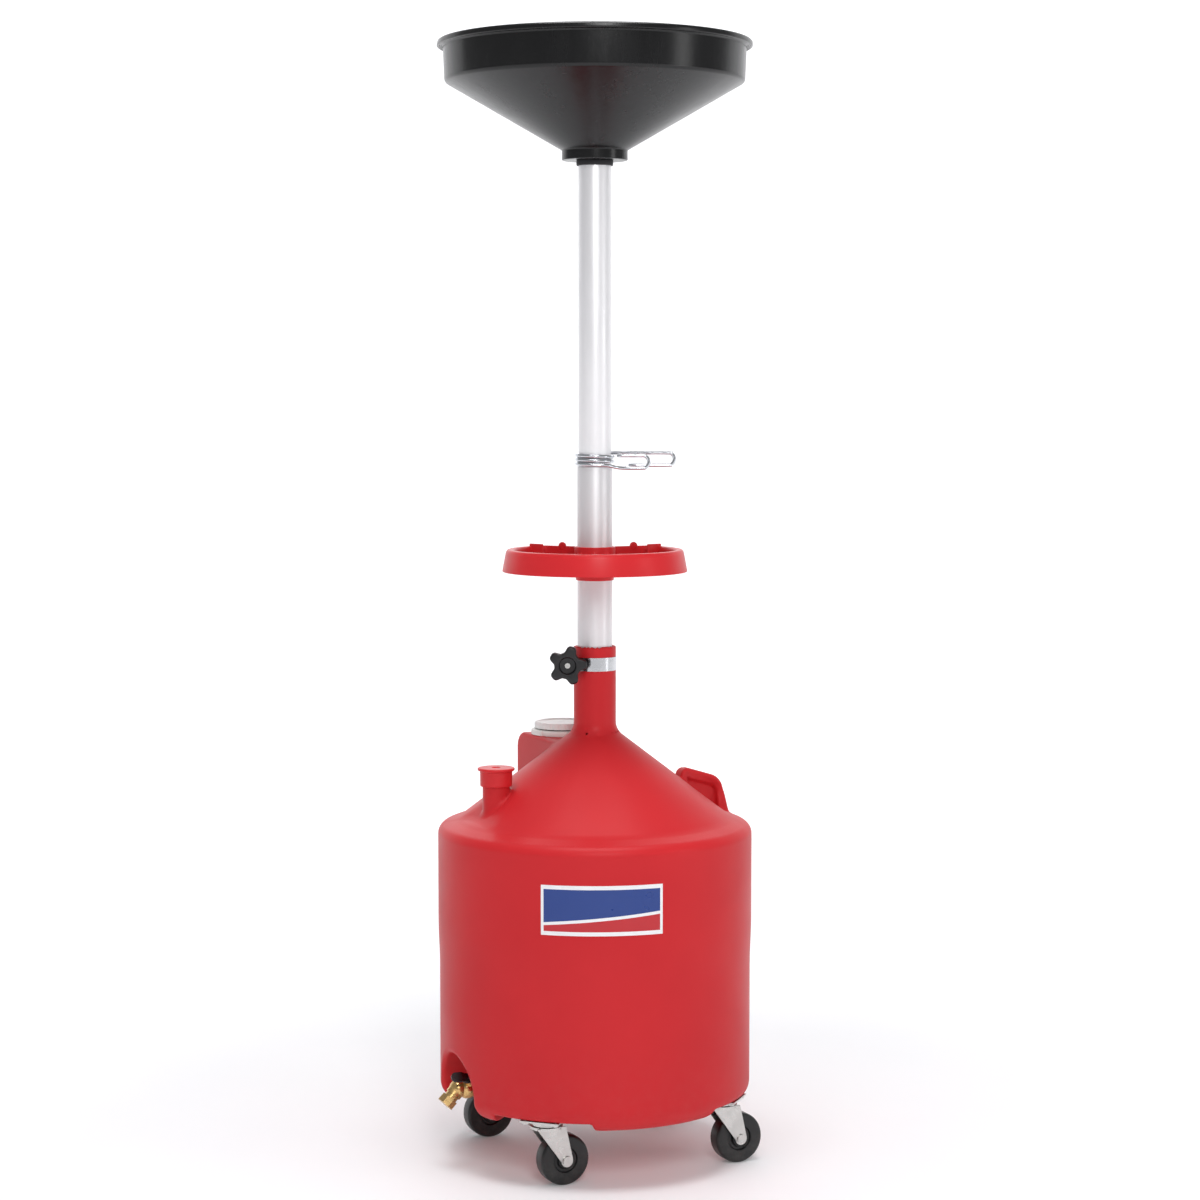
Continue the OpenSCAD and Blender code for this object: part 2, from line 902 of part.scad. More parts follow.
module lower_tube() {
    lip_r = upper_r + slip;
    color([0.8, 0.8, 0.82])
        union() {
            tube(lower_d / 2, lower_wall, lower_bottom, lower_top);
            tube(lower_d / 2 - snug, lower_d / 2 - snug - lip_r, lower_top - lower_lip, lower_top);
        }
}

module lower_foot() {
    color([0.12, 0.12, 0.13])
        tube(lower_d / 2 + foot_wall, foot_wall - snug, lower_bottom, lower_bottom + foot_h);
}

module upper_tube() {
    color([0.84, 0.84, 0.86])
        tube(upper_r, upper_wall, upper_bottom, upper_top);
}

module upper_guide() {
    out_r = lower_bore_r - run;
    color([0.93, 0.93, 0.9])
        union() {
            tube(out_r, out_r - upper_r - snug, upper_bottom - snug, upper_bottom + guide_l);
            tube(out_r, out_r - upper_bore_r, upper_bottom - guide_end, upper_bottom - snug);
        }
}

// The clip's wire: down the back loop, two and a half turns round the tube, out the front loop
coil_r = upper_r + slip + wire_r;
coil_pitch = 2 * wire_r + 0.94;
coil_end = lower_top + wire_r + 0.15;
coil_start = coil_end + 2.5 * coil_pitch;
long_loop = 109;
short_loop = 71;
bend_r = 9.2;
wire_sides = 8;
turn_steps = 24;
back_y = 4;
front_y = -7;

// Half circle of a loop's end, in the plane of the loop, from its upper leg to its lower
function loop_end(x, y, z, up) =
    [for (a = [-90:30:90]) [x + bend_r * cos(a), y, z + up * bend_r * sin(a)]];
function wire_path() = concat(
    [[long_loop - 58, back_y, coil_start - 2 * bend_r + 1.2]],
    loop_end(long_loop, back_y, coil_start - bend_r + 1.2, 1),
    [[40, 9, coil_start + 1], [16, coil_r - 2.6, coil_start + 0.4]],
    [for (i = [0:2.5 * turn_steps]) let (a = 90 + 360 * i / turn_steps)
        [coil_r * cos(a), coil_r * sin(a), coil_start - coil_pitch * i / turn_steps]],
    [[18, 2.5 - coil_r, coil_end - 0.6], [38, -12, coil_end - 4.6]],
    loop_end(short_loop, front_y, coil_end - 5 + bend_r, 1),
    [[34, front_y, coil_end - 5 + 2 * bend_r]]);

function unit(v) = v / norm(v);
// Frame at point i of a path: sideways and up, square to the path
function path_dir(p, i) = unit(p[min(i + 1, len(p) - 1)] - p[max(i - 1, 0)]);
function path_ring(p, i) = let (d = path_dir(p, i), s = unit(cross(d, abs(d[2]) > 0.95 ? [1, 0, 0] : [0, 0, 1])),
    u = cross(s, d)) [for (k = [0:wire_sides - 1]) let (a = 360 * k / wire_sides)
        p[i] + wire_r * (cos(a) * s + sin(a) * u)];

// A round wire swept along a path, as one closed surface
module wire(p) {
    n = len(p);
    m = wire_sides;
    polyhedron(points = [for (i = [0:n - 1]) each path_ring(p, i)],
        faces = concat([[for (k = [0:m - 1]) k]],
            [[for (k = [0:m - 1]) (n - 1) * m + m - 1 - k]],
            [for (i = [0:n - 2], k = [0:m - 1])
                [i * m + k, (i + 1) * m + k, (i + 1) * m + (k + 1) % m, i * m + (k + 1) % m]]),
        convexity = 10);
}

module spring_clip() {
    color([0.87, 0.88, 0.9])
        rotate([0, 0, front_turn])
            wire(wire_path());
}

// ---------- tray ----------
// Corners of the tray's back, where the broad rim ends on each side
tray_side = tray_r * 0.65;
tray_corner_y = tray_side * 1.18;
back_a = atan2(tray_corner_y, tray_side);

// Plan of the tray inside radius r: a disc whose back is a shallow V towards the tube
module tray_plan(r, back) {
    intersection() {
        circle(r = r);
        polygon([[-2 * r, -2 * r], [2 * r, -2 * r], [2 * r, tray_corner_y + back + 40],
            [tray_side, tray_corner_y + back], [0, tray_corner_y + back - tray_dip],
            [-tray_side, tray_corner_y + back], [-2 * r, tray_corner_y + back + 40]]);
    }
}

// Section of the broad rim: inner wall, rounded top, flared skirt, hollow underneath
module rim_section() {
    top = tray_h;
    in_r = tray_r - tray_rim;
    t = tray_wall;
    difference() {
        polygon(concat([[in_r, 1]], arc([in_r + 7, top - 7], 7, 180, 100, 5),
            arc([tray_r - 7, top - 7], 7, 80, 0, 5), [[tray_r + tray_flare, 0], [in_r, 0]]));
        polygon([[in_r + t, -over], [in_r + t, top - 8], [in_r + 2 * t, top - t - 1],
            [tray_r - 2 * t + 1, top - t - 1], [tray_r - t, top - 8],
            [tray_r + tray_flare - t, -over]]);
    }
}

module tool_tray() {
    hub_r = lower_d / 2 + run + hub_wall;
    color([0.82, 0.13, 0.15])
        translate([0, 0, tray_z])
            rotate([0, 0, front_turn])
                difference() {
                    union() {
                        rotate([0, 0, 180 - back_a])
                            rotate_extrude(angle = 180 + 2 * back_a)
                                rim_section();
                        linear_extrude(tray_floor_t)
                            tray_plan(tray_r - tray_rim + 2, 0);
                        tray_back_wall();
                        tray_ribs(hub_r);
                    }
                    translate([0, 0, -over])
                        cylinder(r = hub_r, h = tray_h + 40);
                }
}

// The tray's hub, a sleeve around the lower tube, with the narrower collar under it
module tray_hub() {
    hub_r = lower_d / 2 + run + hub_wall;
    color([0.82, 0.13, 0.15])
        difference() {
            union() {
                translate([0, 0, tray_z])
                    cylinder(r = hub_r, h = hub_top - tray_z);
                translate([0, 0, tray_z - collar_h])
                    cylinder(r = hub_r - 2.2, h = collar_h + 1);
            }
            translate([0, 0, tray_z - collar_h - over])
                cylinder(r = lower_d / 2 + run, h = tray_h + collar_h + 40);
        }
}

// The thin back wall, with its two round lugs
module tray_back_wall() {
    difference() {
        linear_extrude(tray_h - 4)
            tray_plan(tray_r - tray_rim + 2, 0);
        translate([0, 0, -over])
            linear_extrude(tray_h)
                tray_plan(2 * tray_r, -tray_wall * 1.1);
    }
    slope = atan2(tray_dip, tray_side);
    for (x = [-50, 58])
        translate([x, tray_corner_y - tray_dip + abs(x) * tan(slope), tray_h - 5])
            rotate([90, 0, sign(x) * slope])
                cylinder(r = 5, h = 3);
}

module tray_ribs(hub_r) {
    long = tray_r - tray_rim - hub_r + 2;
    for (side = [-1, 1])
        rotate([0, 0, -90 + side * rib_a])
            translate([hub_r - 1, -1.5, tray_floor_t - 1])
                cube([long, 3, rib_h]);
    for (a = [-40, 0, 40, 140, 220])
        rotate([0, 0, -90 + a])
            translate([0, 1.25, 0])
                rotate([90, 0, 0])
                    linear_extrude(2.5)
                        polygon([[hub_r - 1, 1], [hub_r + 12, 1], [hub_r - 1, hub_top - tray_z - 3]]);
}

// ---------- bowl ----------
module bowl_collar() {
    color([0.06, 0.06, 0.07])
        union() {
            tube(collar_r, collar_r - upper_r - snug, boss_z - collar_show, boss_z);
            tube(collar_r - 0.8, collar_r - 0.8 - upper_r - snug, boss_z - snug, boss_z + collar_deep);
        }
}

module bowl() {
    socket_r = collar_r - 0.8 + slip;
    w = bowl_wall;
    foot = boss_z + boss_h;
    in_foot = upper_top + slip + w;
    floor_r = boss_r - (foot + w / cos(bowl_a) - in_foot) / tan(bowl_a);
    wall_r = bowl_wall_r - bowl_draft;
    color([0.06, 0.06, 0.07])
        difference() {
            rotate_extrude()
                polygon(concat([[0, boss_z + slip], [boss_r - 1, boss_z + slip], [boss_r, boss_z + 1.3],
                    [boss_r, foot], [wall_r, band_bottom], [bowl_wall_r, bowl_top - 9],
                    [bowl_r - 4, bowl_top - 6.5], [bowl_r - 2.5, bowl_top - 9]],
                    arc([bowl_r - 3.5, bowl_top - 3.5], 3.5, 0, 90, 4),
                    [[bowl_wall_r - w, bowl_top], [wall_r - w, band_bottom + w * tan(bowl_a / 2)],
                    [floor_r, in_foot], [0, in_foot]]));
            translate([0, 0, boss_z - over])
                cylinder(r = socket_r, h = upper_top - boss_z + over + slip);
            translate([0, 0, boss_z])
                cylinder(r = throat_r, h = bowl_top - boss_z);
        }
}

// ---------- casters ----------
module caster_plate(i) {
    color([0.75, 0.76, 0.78])
        difference() {
            union() {
                at_corner(i)
                    rotate([0, 0, corner_angle(i)])
                        translate([-plate_w / 2, -plate_w / 2, pad_z - plate_t - snug])
                            cube([plate_w, plate_w, plate_t]);
                at_corner(i)
                    translate([0, 0, crown_top + race_gap])
                        cylinder(r = race_r, h = race_h + 0.5);
            }
            at_corner(i)
                ball_groove();
            at_corner(i)
                translate([0, 0, crown_top])
                    cylinder(r = kingpin_r + snug, h = race_h + plate_t + 2);
            screw_places(i)
                translate([0, 0, pad_z - plate_t - over])
                    cylinder(r = screw_r + slip, h = plate_t + 2 * over);
        }
}

module ball_groove() {
    translate([0, 0, ball_z])
        rotate_extrude()
            translate([ball_pitch, 0])
                circle(r = swivel_ball_r + slip);
}

module caster_screws() {
    color([0.8, 0.81, 0.83])
        for (i = [0:3])
            screw_places(i)
                translate([0, 0, pad_z - plate_t - 2 * snug]) {
                    cylinder(r = screw_r, h = plate_t + screw_in);
                    translate([0, 0, -3])
                        cylinder(r = 2 * screw_r, h = 3, $fn = 6);
                }
}

module caster_kingpin(i) {
    color([0.7, 0.71, 0.73])
        at_corner(i) {
            translate([0, 0, crown_top - crown_t - 1])
                cylinder(r = kingpin_r, h = race_h + plate_t + crown_t + race_gap + 0.5);
            translate([0, 0, crown_top - crown_t - slip - 3])
                cylinder(r = kingpin_r + 4, h = 3);
        }
}

module caster_balls(i) {
    color([0.85, 0.86, 0.88])
        at_corner(i)
            for (k = [0:balls - 1])
                rotate([0, 0, 360 / balls * k])
                    translate([ball_pitch, 0, ball_z])
                        sphere(r = swivel_ball_r);
}

// One leg of the fork in side view: a taper from the crown to a round end at the axle
module leg_outline() {
    top = crown_top - 1;
    polygon([[-crown_r + 2, top], [crown_r - 1, top], [trail + leg_end_r, wheel_r + 2],
        [trail + leg_end_r * 0.6, wheel_r - leg_end_r * 0.8],
        [trail - leg_end_r * 0.85, wheel_r - leg_end_r * 0.3]]);
    translate([trail, wheel_r])
        circle(r = leg_end_r);
}

module caster_fork(i) {
    color([0.76, 0.77, 0.79])
        at_corner(i)
            difference() {
                union() {
                    translate([0, 0, crown_top - crown_t])
                        cylinder(r = crown_r, h = crown_t);
                    for (y = [leg_in + leg_t, -leg_in])
                        translate([0, y, 0])
                            rotate([90, 0, 0])
                                linear_extrude(leg_t)
                                    leg_outline();
                }
                ball_groove();
                translate([0, 0, crown_top - crown_t - over])
                    cylinder(r = kingpin_r + run, h = crown_t + 2 * over);
                translate([trail, hub_w, wheel_r])
                    rotate([90, 0, 0])
                        cylinder(r = axle_r + snug, h = 2 * hub_w);
            }
}

// The children's +Z runs along the axle, from its middle
module on_axle(i) {
    at_corner(i)
        translate([trail, 0, wheel_r])
            rotate([90, 0, 0])
                children();
}

module caster_axle(i) {
    half = leg_in + leg_t + snug;
    color([0.7, 0.71, 0.73])
        on_axle(i) {
            translate([0, 0, -half])
                cylinder(r = axle_r, h = 2 * half);
            for (side = [-1, 1])
                translate([0, 0, side > 0 ? half : -half - 3])
                    cylinder(r = axle_r + 3, h = 3);
        }
}

module caster_bush(i) {
    color([0.75, 0.75, 0.77])
        on_axle(i)
            difference() {
                cylinder(r = bush_r, h = hub_w, center = true);
                cylinder(r = axle_r + run, h = hub_w + 2 * over, center = true);
            }
}

// Half section of the wheel: hub, dished web and rounded tread
module wheel_section() {
    tread = wheel_w / 2;
    round_r = 6;
    polygon(concat([[bush_r + snug, -hub_w / 2], [bush_r + 5, -hub_w / 2], [bush_r + 6.5, -tread + 3],
        [wheel_r - 20, -tread + 3], [wheel_r - 19, -tread]],
        arc([wheel_r - round_r, -tread + round_r], round_r, -90, 0, 5),
        arc([wheel_r - round_r, tread - round_r], round_r, 0, 90, 5),
        [[wheel_r - 19, tread], [wheel_r - 20, tread - 3], [bush_r + 6.5, tread - 3],
        [bush_r + 5, hub_w / 2], [bush_r + snug, hub_w / 2]]));
}

module caster_wheel(i) {
    color([0.09, 0.09, 0.1])
        on_axle(i)
            rotate_extrude()
                wheel_section();
}

tank_body();
tank_top();
tank_neck();
label_plate();
port_cap();
filler_flange();
filler_lid();
filler_gasket();
drain_fitting();
valve_body();
valve_ball();
valve_seats();
valve_stem();
gland_nut();
valve_lever();
lever_nut();
outlet_cap();
outlet_washer();
clamp_band();
clamp_stud();
clamp_nut();
star_knob();
lower_tube();
lower_foot();
upper_tube();
upper_guide();
spring_clip();
tool_tray();
tray_hub();
bowl_collar();
bowl();
caster_screws();
caster_plate(0);  // caster_fl_plate
caster_kingpin(0);  // caster_fl_kingpin
caster_balls(0);  // caster_fl_balls
caster_fork(0);  // caster_fl_fork
caster_axle(0);  // caster_fl_axle
caster_bush(0);  // caster_fl_bush
caster_wheel(0);  // caster_fl_wheel
caster_plate(1);  // caster_fr_plate
caster_kingpin(1);  // caster_fr_kingpin
caster_balls(1);  // caster_fr_balls
caster_fork(1);  // caster_fr_fork
caster_axle(1);  // caster_fr_axle
caster_bush(1);  // caster_fr_bush
caster_wheel(1);  // caster_fr_wheel
caster_plate(2);  // caster_rl_plate
caster_kingpin(2);  // caster_rl_kingpin
caster_balls(2);  // caster_rl_balls
caster_fork(2);  // caster_rl_fork
caster_axle(2);  // caster_rl_axle
caster_bush(2);  // caster_rl_bush
caster_wheel(2);  // caster_rl_wheel
caster_plate(3);  // caster_rr_plate
caster_kingpin(3);  // caster_rr_kingpin
caster_balls(3);  // caster_rr_balls
caster_fork(3);  // caster_rr_fork
caster_axle(3);  // caster_rr_axle
caster_bush(3);  // caster_rr_bush
caster_wheel(3);  // caster_rr_wheel
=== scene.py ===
# %% [markdown]
# # A used-oil drainer on casters
# The object is a round moulded tank on four swivel casters, a column of two
# sliding tubes with a tool tray, and a wide black bowl that catches the oil.
# The exact frame, with every joint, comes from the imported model. This lesson
# gives each piece its surface: soft moulded edges, drawn tubes, and finishes.

import json
from math import radians

import bmesh
import bpy
import numpy as np
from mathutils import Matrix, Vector

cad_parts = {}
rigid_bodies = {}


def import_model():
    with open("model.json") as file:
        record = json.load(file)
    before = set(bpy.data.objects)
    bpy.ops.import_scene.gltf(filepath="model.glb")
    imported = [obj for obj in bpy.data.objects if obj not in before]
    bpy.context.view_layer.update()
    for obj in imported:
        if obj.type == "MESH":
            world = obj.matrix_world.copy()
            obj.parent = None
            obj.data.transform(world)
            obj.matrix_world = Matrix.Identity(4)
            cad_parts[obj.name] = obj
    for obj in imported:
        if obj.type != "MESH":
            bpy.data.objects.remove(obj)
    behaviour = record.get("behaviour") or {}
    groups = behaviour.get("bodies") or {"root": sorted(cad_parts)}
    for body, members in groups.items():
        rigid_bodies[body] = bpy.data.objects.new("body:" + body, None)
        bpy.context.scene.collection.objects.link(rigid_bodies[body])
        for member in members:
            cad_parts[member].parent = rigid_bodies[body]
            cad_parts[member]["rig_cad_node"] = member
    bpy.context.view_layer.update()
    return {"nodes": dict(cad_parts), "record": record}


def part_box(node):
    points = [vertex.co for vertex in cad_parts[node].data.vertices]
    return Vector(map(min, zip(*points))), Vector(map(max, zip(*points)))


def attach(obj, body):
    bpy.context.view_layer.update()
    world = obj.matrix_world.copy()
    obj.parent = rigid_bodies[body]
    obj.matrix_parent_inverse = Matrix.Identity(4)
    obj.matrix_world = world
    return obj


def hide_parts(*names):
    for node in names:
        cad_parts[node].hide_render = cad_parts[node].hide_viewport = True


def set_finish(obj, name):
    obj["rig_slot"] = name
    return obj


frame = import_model()
nodes = frame["nodes"]

# %% [markdown]
# ## From arrays to meshes
# Every new surface below is a table of points. A helper turns points and
# faces into a mesh object that rides on its body and stands for CAD nodes.
# Lengths are worked out in millimetres, as on a drawing, and stored in metres.

# %% Mesh helpers
MM = 0.001


def add_piece(name, points, faces, body, slot, stands_for=(), sharp=35.0):
    """Makes a smooth mesh object from points in mm; edges bent more than sharp degrees stay crisp."""
    mesh = bpy.data.meshes.new(name)
    mesh.from_pydata((np.asarray(points, float) * MM).tolist(), [], faces)
    mesh.validate()
    mesh.shade_smooth()
    mesh.set_sharp_from_angle(angle=np.radians(sharp))
    piece = bpy.data.objects.new(name, mesh)
    bpy.context.scene.collection.objects.link(piece)
    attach(piece, body)
    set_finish(piece, slot)
    if stands_for:
        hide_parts(*stands_for)
    print(f"{name}: {len(points)} points, {len(faces)} faces")
    return piece


def ring_faces(rings, steps, closed):
    """Quads between neighbouring rings; a closed stack also joins its last ring to its first."""
    i = np.arange(rings if closed else rings - 1)[:, None]
    j = np.arange(steps)[None, :]
    a, b = i * steps, (i + 1) % rings * steps
    k = (j + 1) % steps
    return np.stack([a + j, a + k, b + k, b + j], -1).reshape(-1, 4).tolist()


# %% [markdown]
# ## Rounded corners
# A moulded or turned edge is never sharp. A section is drawn as straight
# lines first, and each corner then becomes an arc that touches both lines.

# %% Round the corners of a section
def rounded(corners, radii, steps=6, closed=True):
    """Corner P with unit sides a, b becomes an arc:
    its centre is on the bisector at radius / sin(half angle), and slerp sweeps it.
    """
    P = np.array(corners, float)
    A, B = np.roll(P, 1, 0) - P, np.roll(P, -1, 0) - P
    la, lb = np.linalg.norm(A, axis=1), np.linalg.norm(B, axis=1)
    a, b = A / la[:, None], B / lb[:, None]
    half = 0.5 * np.arccos(np.clip((a * b).sum(1), -0.99999, 0.99999))
    r = np.broadcast_to(np.asarray(radii, float), len(P)) + 1e-4
    cut = np.minimum(r / np.tan(half), 0.49 * np.minimum(la, lb))
    r = cut * np.tan(half)
    mid = (a + b) / np.linalg.norm(a + b, axis=1)[:, None]
    c = P + mid * (r / np.sin(half))[:, None]
    u, v = P + a * cut[:, None] - c, P + b * cut[:, None] - c
    phi = np.pi - 2 * half
    t = np.linspace(0, 1, steps)[None, :, None]
    phi = phi[:, None, None]
    arcs = (np.sin((1 - t) * phi) * u[:, None] + np.sin(t * phi) * v[:, None]) / np.sin(phi)
    arcs = c[:, None] + arcs
    if not closed:
        arcs[0], arcs[-1] = P[0], P[-1]
    out = arcs.reshape(-1, P.shape[1])
    keep = np.linalg.norm(out - np.roll(out, 1, 0), axis=1) > 0.01
    keep[0] = True
    return out[keep]


# %% [markdown]
# ## Turned pieces
# Tubes, caps, wheels and the bowl are round, so each is a section carried
# round an axis. A piece with a plan that isn't round uses the same rings,
# and each ring is then a mix of a circle and the piece's own outline.

# %% Rings round an axis
def rings(name, section, body, slot, stands_for=(), centre=(0, 0, 0), steps=128,
          outline=None, mix=None, frame3=np.eye(3), sharp=35.0):
    """Point k, j = centre + frame3 @ (R cos t, R sin t, z). Sections run anticlockwise in (r, z).

    R = section radius + mix * (outline(t) - outline's largest).
    """
    S = np.asarray(section, float)
    t = np.linspace(0, 2 * np.pi, steps, endpoint=False)
    R = np.repeat(S[:, :1], steps, 1)
    if outline is not None:
        shape = outline(t)
        R = R + np.asarray(mix)[:, None] * (shape - shape.max())[None, :]
    V = np.stack([R * np.cos(t), R * np.sin(t), np.repeat(S[:, 1:2], steps, 1)], -1)
    V = V.reshape(-1, 3) @ np.asarray(frame3, float).T + np.asarray(centre, float)
    area = 0.5 * np.sum(S[:, 0] * np.roll(S[:, 1], -1) - np.roll(S[:, 0], -1) * S[:, 1])
    faces = ring_faces(len(S), steps, True)
    if (area > 0) != (np.linalg.det(frame3) > 0):
        faces = [f[::-1] for f in faces]
    return add_piece(name, V, faces, body, slot, stands_for, sharp)


def tube_section(r_out, r_in, z0, z1, edge=0.4):
    """A tube's wall as a rectangle with slightly rounded ends."""
    return rounded([(r_in, z0), (r_out, z0), (r_out, z1), (r_in, z1)], edge, 4)


def span(node):
    """A CAD node's lowest and highest corners, in mm."""
    lo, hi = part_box(node)
    return np.array(lo) / MM, np.array(hi) / MM


print("ring helper ready")

# %% [markdown]
# ## The tank's shape as a distance
# The tank is one rotational moulding: powder melts inside a turning mould, so
# every edge comes out round, and the handle, filler box and port flow into
# the cone. Joining separate meshes would leave hard seams. Instead the tank
# is one function that gives the distance to its skin, built from planes and
# cylinders whose meetings are rounded, as a mould maker blends them.

# %% Rounded joins and cuts
def join(a, b, r):
    """Union of two distances with an inside fillet of radius r."""
    u = np.maximum(r - a, 0)
    v = np.maximum(r - b, 0)
    return np.maximum(r, np.minimum(a, b)) - np.sqrt(u * u + v * v)


def both(a, b, r):
    """Where both distances hold, with an outside edge of radius r."""
    u = np.maximum(r + a, 0)
    v = np.maximum(r + b, 0)
    return np.minimum(-r, np.maximum(a, b)) + np.sqrt(u * u + v * v)


def cut(a, b, r):
    """Distance a with b taken out, the rim rounded by r."""
    return both(a, -b, r)


# %% The tank's named sizes
body_lo, body_hi = span("tank_body")
neck_hi = span("tank_neck")[1]
TANK_R = body_hi[1]
TANK_Z = body_lo[2]
NECK_TOP = neck_hi[2]
NECK_R = neck_hi[0]
NECK_BASE = NECK_TOP - 126.0
CONE_A, SHELF_A, FACET_A = np.radians(37.5), np.radians(20.0), np.radians(42.0)
CONE_R = TANK_R - 32.0
SHELF_Z = NECK_BASE - (CONE_R - NECK_R) * np.tan(CONE_A)
PORT_X, FILL_Y, BOX_Y = -(TANK_R - 75.0), TANK_R - 115.0, TANK_R - 52.0
BOX_TOP = NECK_BASE - 20.0
STEP_Z, STEP_H, STEP_IN = 290.0, 70.0, 2.0
BORE_R, CHAMBER_R = 26.3, span("lower_foot")[1][0] + 3.0
print("tank radius", round(TANK_R, 1), "neck top", round(NECK_TOP, 1), "shelf", round(SHELF_Z, 1))


# %% Distance to the tank's skin
def cone_height(r):
    """The cone falls from the neck's base by tan of its slope."""
    return NECK_BASE - (r - NECK_R) * np.tan(CONE_A)


def shell(x, y, z):
    """Round wall with a shallow step, flat shelf, cone and neck, joined with fillets."""
    r = np.hypot(x, y)
    s = np.clip((z - STEP_Z) / STEP_H, 0, 1)
    wall = r - (TANK_R - STEP_IN * (1 - s * s * (3 - 2 * s)))
    shelf = (z - SHELF_Z) * np.cos(SHELF_A) + (r - CONE_R) * np.sin(SHELF_A)
    cone = (z - NECK_BASE) * np.cos(CONE_A) + (r - NECK_R) * np.sin(CONE_A)
    d = both(both(wall, join(shelf, cone, 2.0), 10.0), TANK_Z - z, 28.0)
    return join(d, both(r - NECK_R, z - NECK_TOP, 1.5), 9.0)


def filler_box(x, y, z):
    """A box with crisp sides and a broad round over its rear top edge, and a blind mouth."""
    d = both(both(y - BOX_Y, z - BOX_TOP, 25.0), np.abs(x) - 50.0, 4.5)
    return both(d, -y - 5.0, 1.0)


def handle(x, y, z):
    """The carrying lug: top sloping outwards, outer post leaning out, edges nearly half round."""
    left = (138.0 - x) * 0.97 + (z - 560.0) * 0.24
    top = (z - 574.5 + 0.307 * (x - 154.0)) * 0.956
    outer = (x - 208.0 + (z - 552.0) * 0.26) * 0.968
    side = both(both(left, top, 12.0), outer, 12.0)
    side = both(side, SHELF_Z - 14.0 - z, 1.0)
    return both(side, np.abs(y) - 16.0, 7.5)


def finger_pocket(x, y, z):
    """The blind hollow under the bar, on both sides of a thin web."""
    cone = (z - NECK_BASE) * np.cos(CONE_A) + (np.hypot(x, y) - NECK_R) * np.sin(CONE_A)
    under = (z - 558.5 + 0.307 * (x - 154.0)) * 0.956
    d = both(both(under, x - 200.0, 9.0), both(150.0 - x, -cone - 6.0, 3.0), 3.0)
    return both(both(d, 3.0 - np.abs(y), 4.0), np.abs(y) - 20.0, 3.0)


def trough(x, y, z):
    """A scoop down the cone beside the handle: the distance to a slanted line, less its radius."""
    dx, dz = np.cos(CONE_A), -np.sin(CONE_A)
    ax, az = CONE_R - 42.0, cone_height(CONE_R - 42.0) + 21.4
    t = np.clip((x - ax) * dx + (z - az) * dz, 0, 36.0)
    return np.sqrt((x - ax - t * dx) ** 2 + (np.abs(y) - 33.0) ** 2 + (z - az - t * dz) ** 2) - 26.0


def drain_recess(x, y, z):
    """An arch cut up from the bottom, with a flat back wall."""
    up = z - (TANK_Z + 25.0)
    arch = np.where(up > 0, np.hypot(y, up), np.abs(y)) - 60.0
    return both(arch, x + TANK_R - 75.0, 6.0)


def port_relief(x, y, z):
    """A flat facet steeper than the cone, cut down to the shelf's slope, so the shelf runs in to the port."""
    facet = (z - cone_height(138.0)) * np.cos(FACET_A) - (x + 138.0) * np.sin(FACET_A)
    shelf = (z - SHELF_Z) * np.cos(SHELF_A) + (np.hypot(x, y) - CONE_R) * np.sin(SHELF_A)
    return both(both(-facet, -shelf, 3.0), x + 112.0, 1.0)


def caster_pad(x, y, z):
    """Four flat corners cut up into the bottom, one on each diagonal."""
    u = (np.abs(x) + np.abs(y)) * np.sqrt(0.5)
    v = np.abs(np.abs(x) - np.abs(y)) * np.sqrt(0.5)
    return both(both(TANK_R - 95.0 - u, v - 75.0, 5.0), z - TANK_Z - 14.0, 2.0)


def column_bore(x, y, z):
    """The neck's bore, and under it a wider chamber in which the tubes' lower ends travel."""
    r = np.hypot(x, y)
    roof = (z - NECK_BASE) * np.cos(CONE_A) + (r - NECK_R) * np.sin(CONE_A) + 4.5
    chamber = both(both(r - CHAMBER_R, roof, 0.5), TANK_Z + 12.0 - z, 1.0)
    return np.minimum(both(r - BORE_R, NECK_BASE - 30.0 - z, 1.0), chamber)


def tank_distance(x, y, z):
    """All of the tank's features, each joined or cut with its own fillet."""
    d = cut(shell(x, y, z), port_relief(x, y, z), 1.5)
    d = join(d, filler_box(x, y, z), 4.0)
    pipe = both(np.hypot(x - PORT_X, y) - 20.0, z - cone_height(-PORT_X) - 28.0, 1.0)
    d = join(d, pipe, 6.0)
    d = join(d, handle(x, y, z), 4.0)
    d = cut(d, trough(x, y, z), 7.0)
    d = cut(d, finger_pocket(x, y, z), 3.0)
    d = cut(d, drain_recess(x, y, z), 8.0)
    d = cut(d, caster_pad(x, y, z), 4.0)
    mouth = both(np.hypot(x, y - FILL_Y) - 32.0, BOX_TOP - 45.0 - z, 3.0)
    d = cut(d, mouth, 1.0)
    return cut(d, column_bore(x, y, z), 1.0)


print("distance at the tank's centre:", round(float(tank_distance(0.0, 0.0, 300.0)), 1), "mm")

# %% [markdown]
# ## Skinning the distance
# The distance is worked out on a grid of points, and every cell that the skin
# passes through gets one vertex, the mean of the places where its edges are
# crossed. Each vertex then slides along the slope of the distance until it
# lies on the skin, so the grid leaves no steps.

# %% Surface from a grid of distances
NEWTON_STEPS = 4


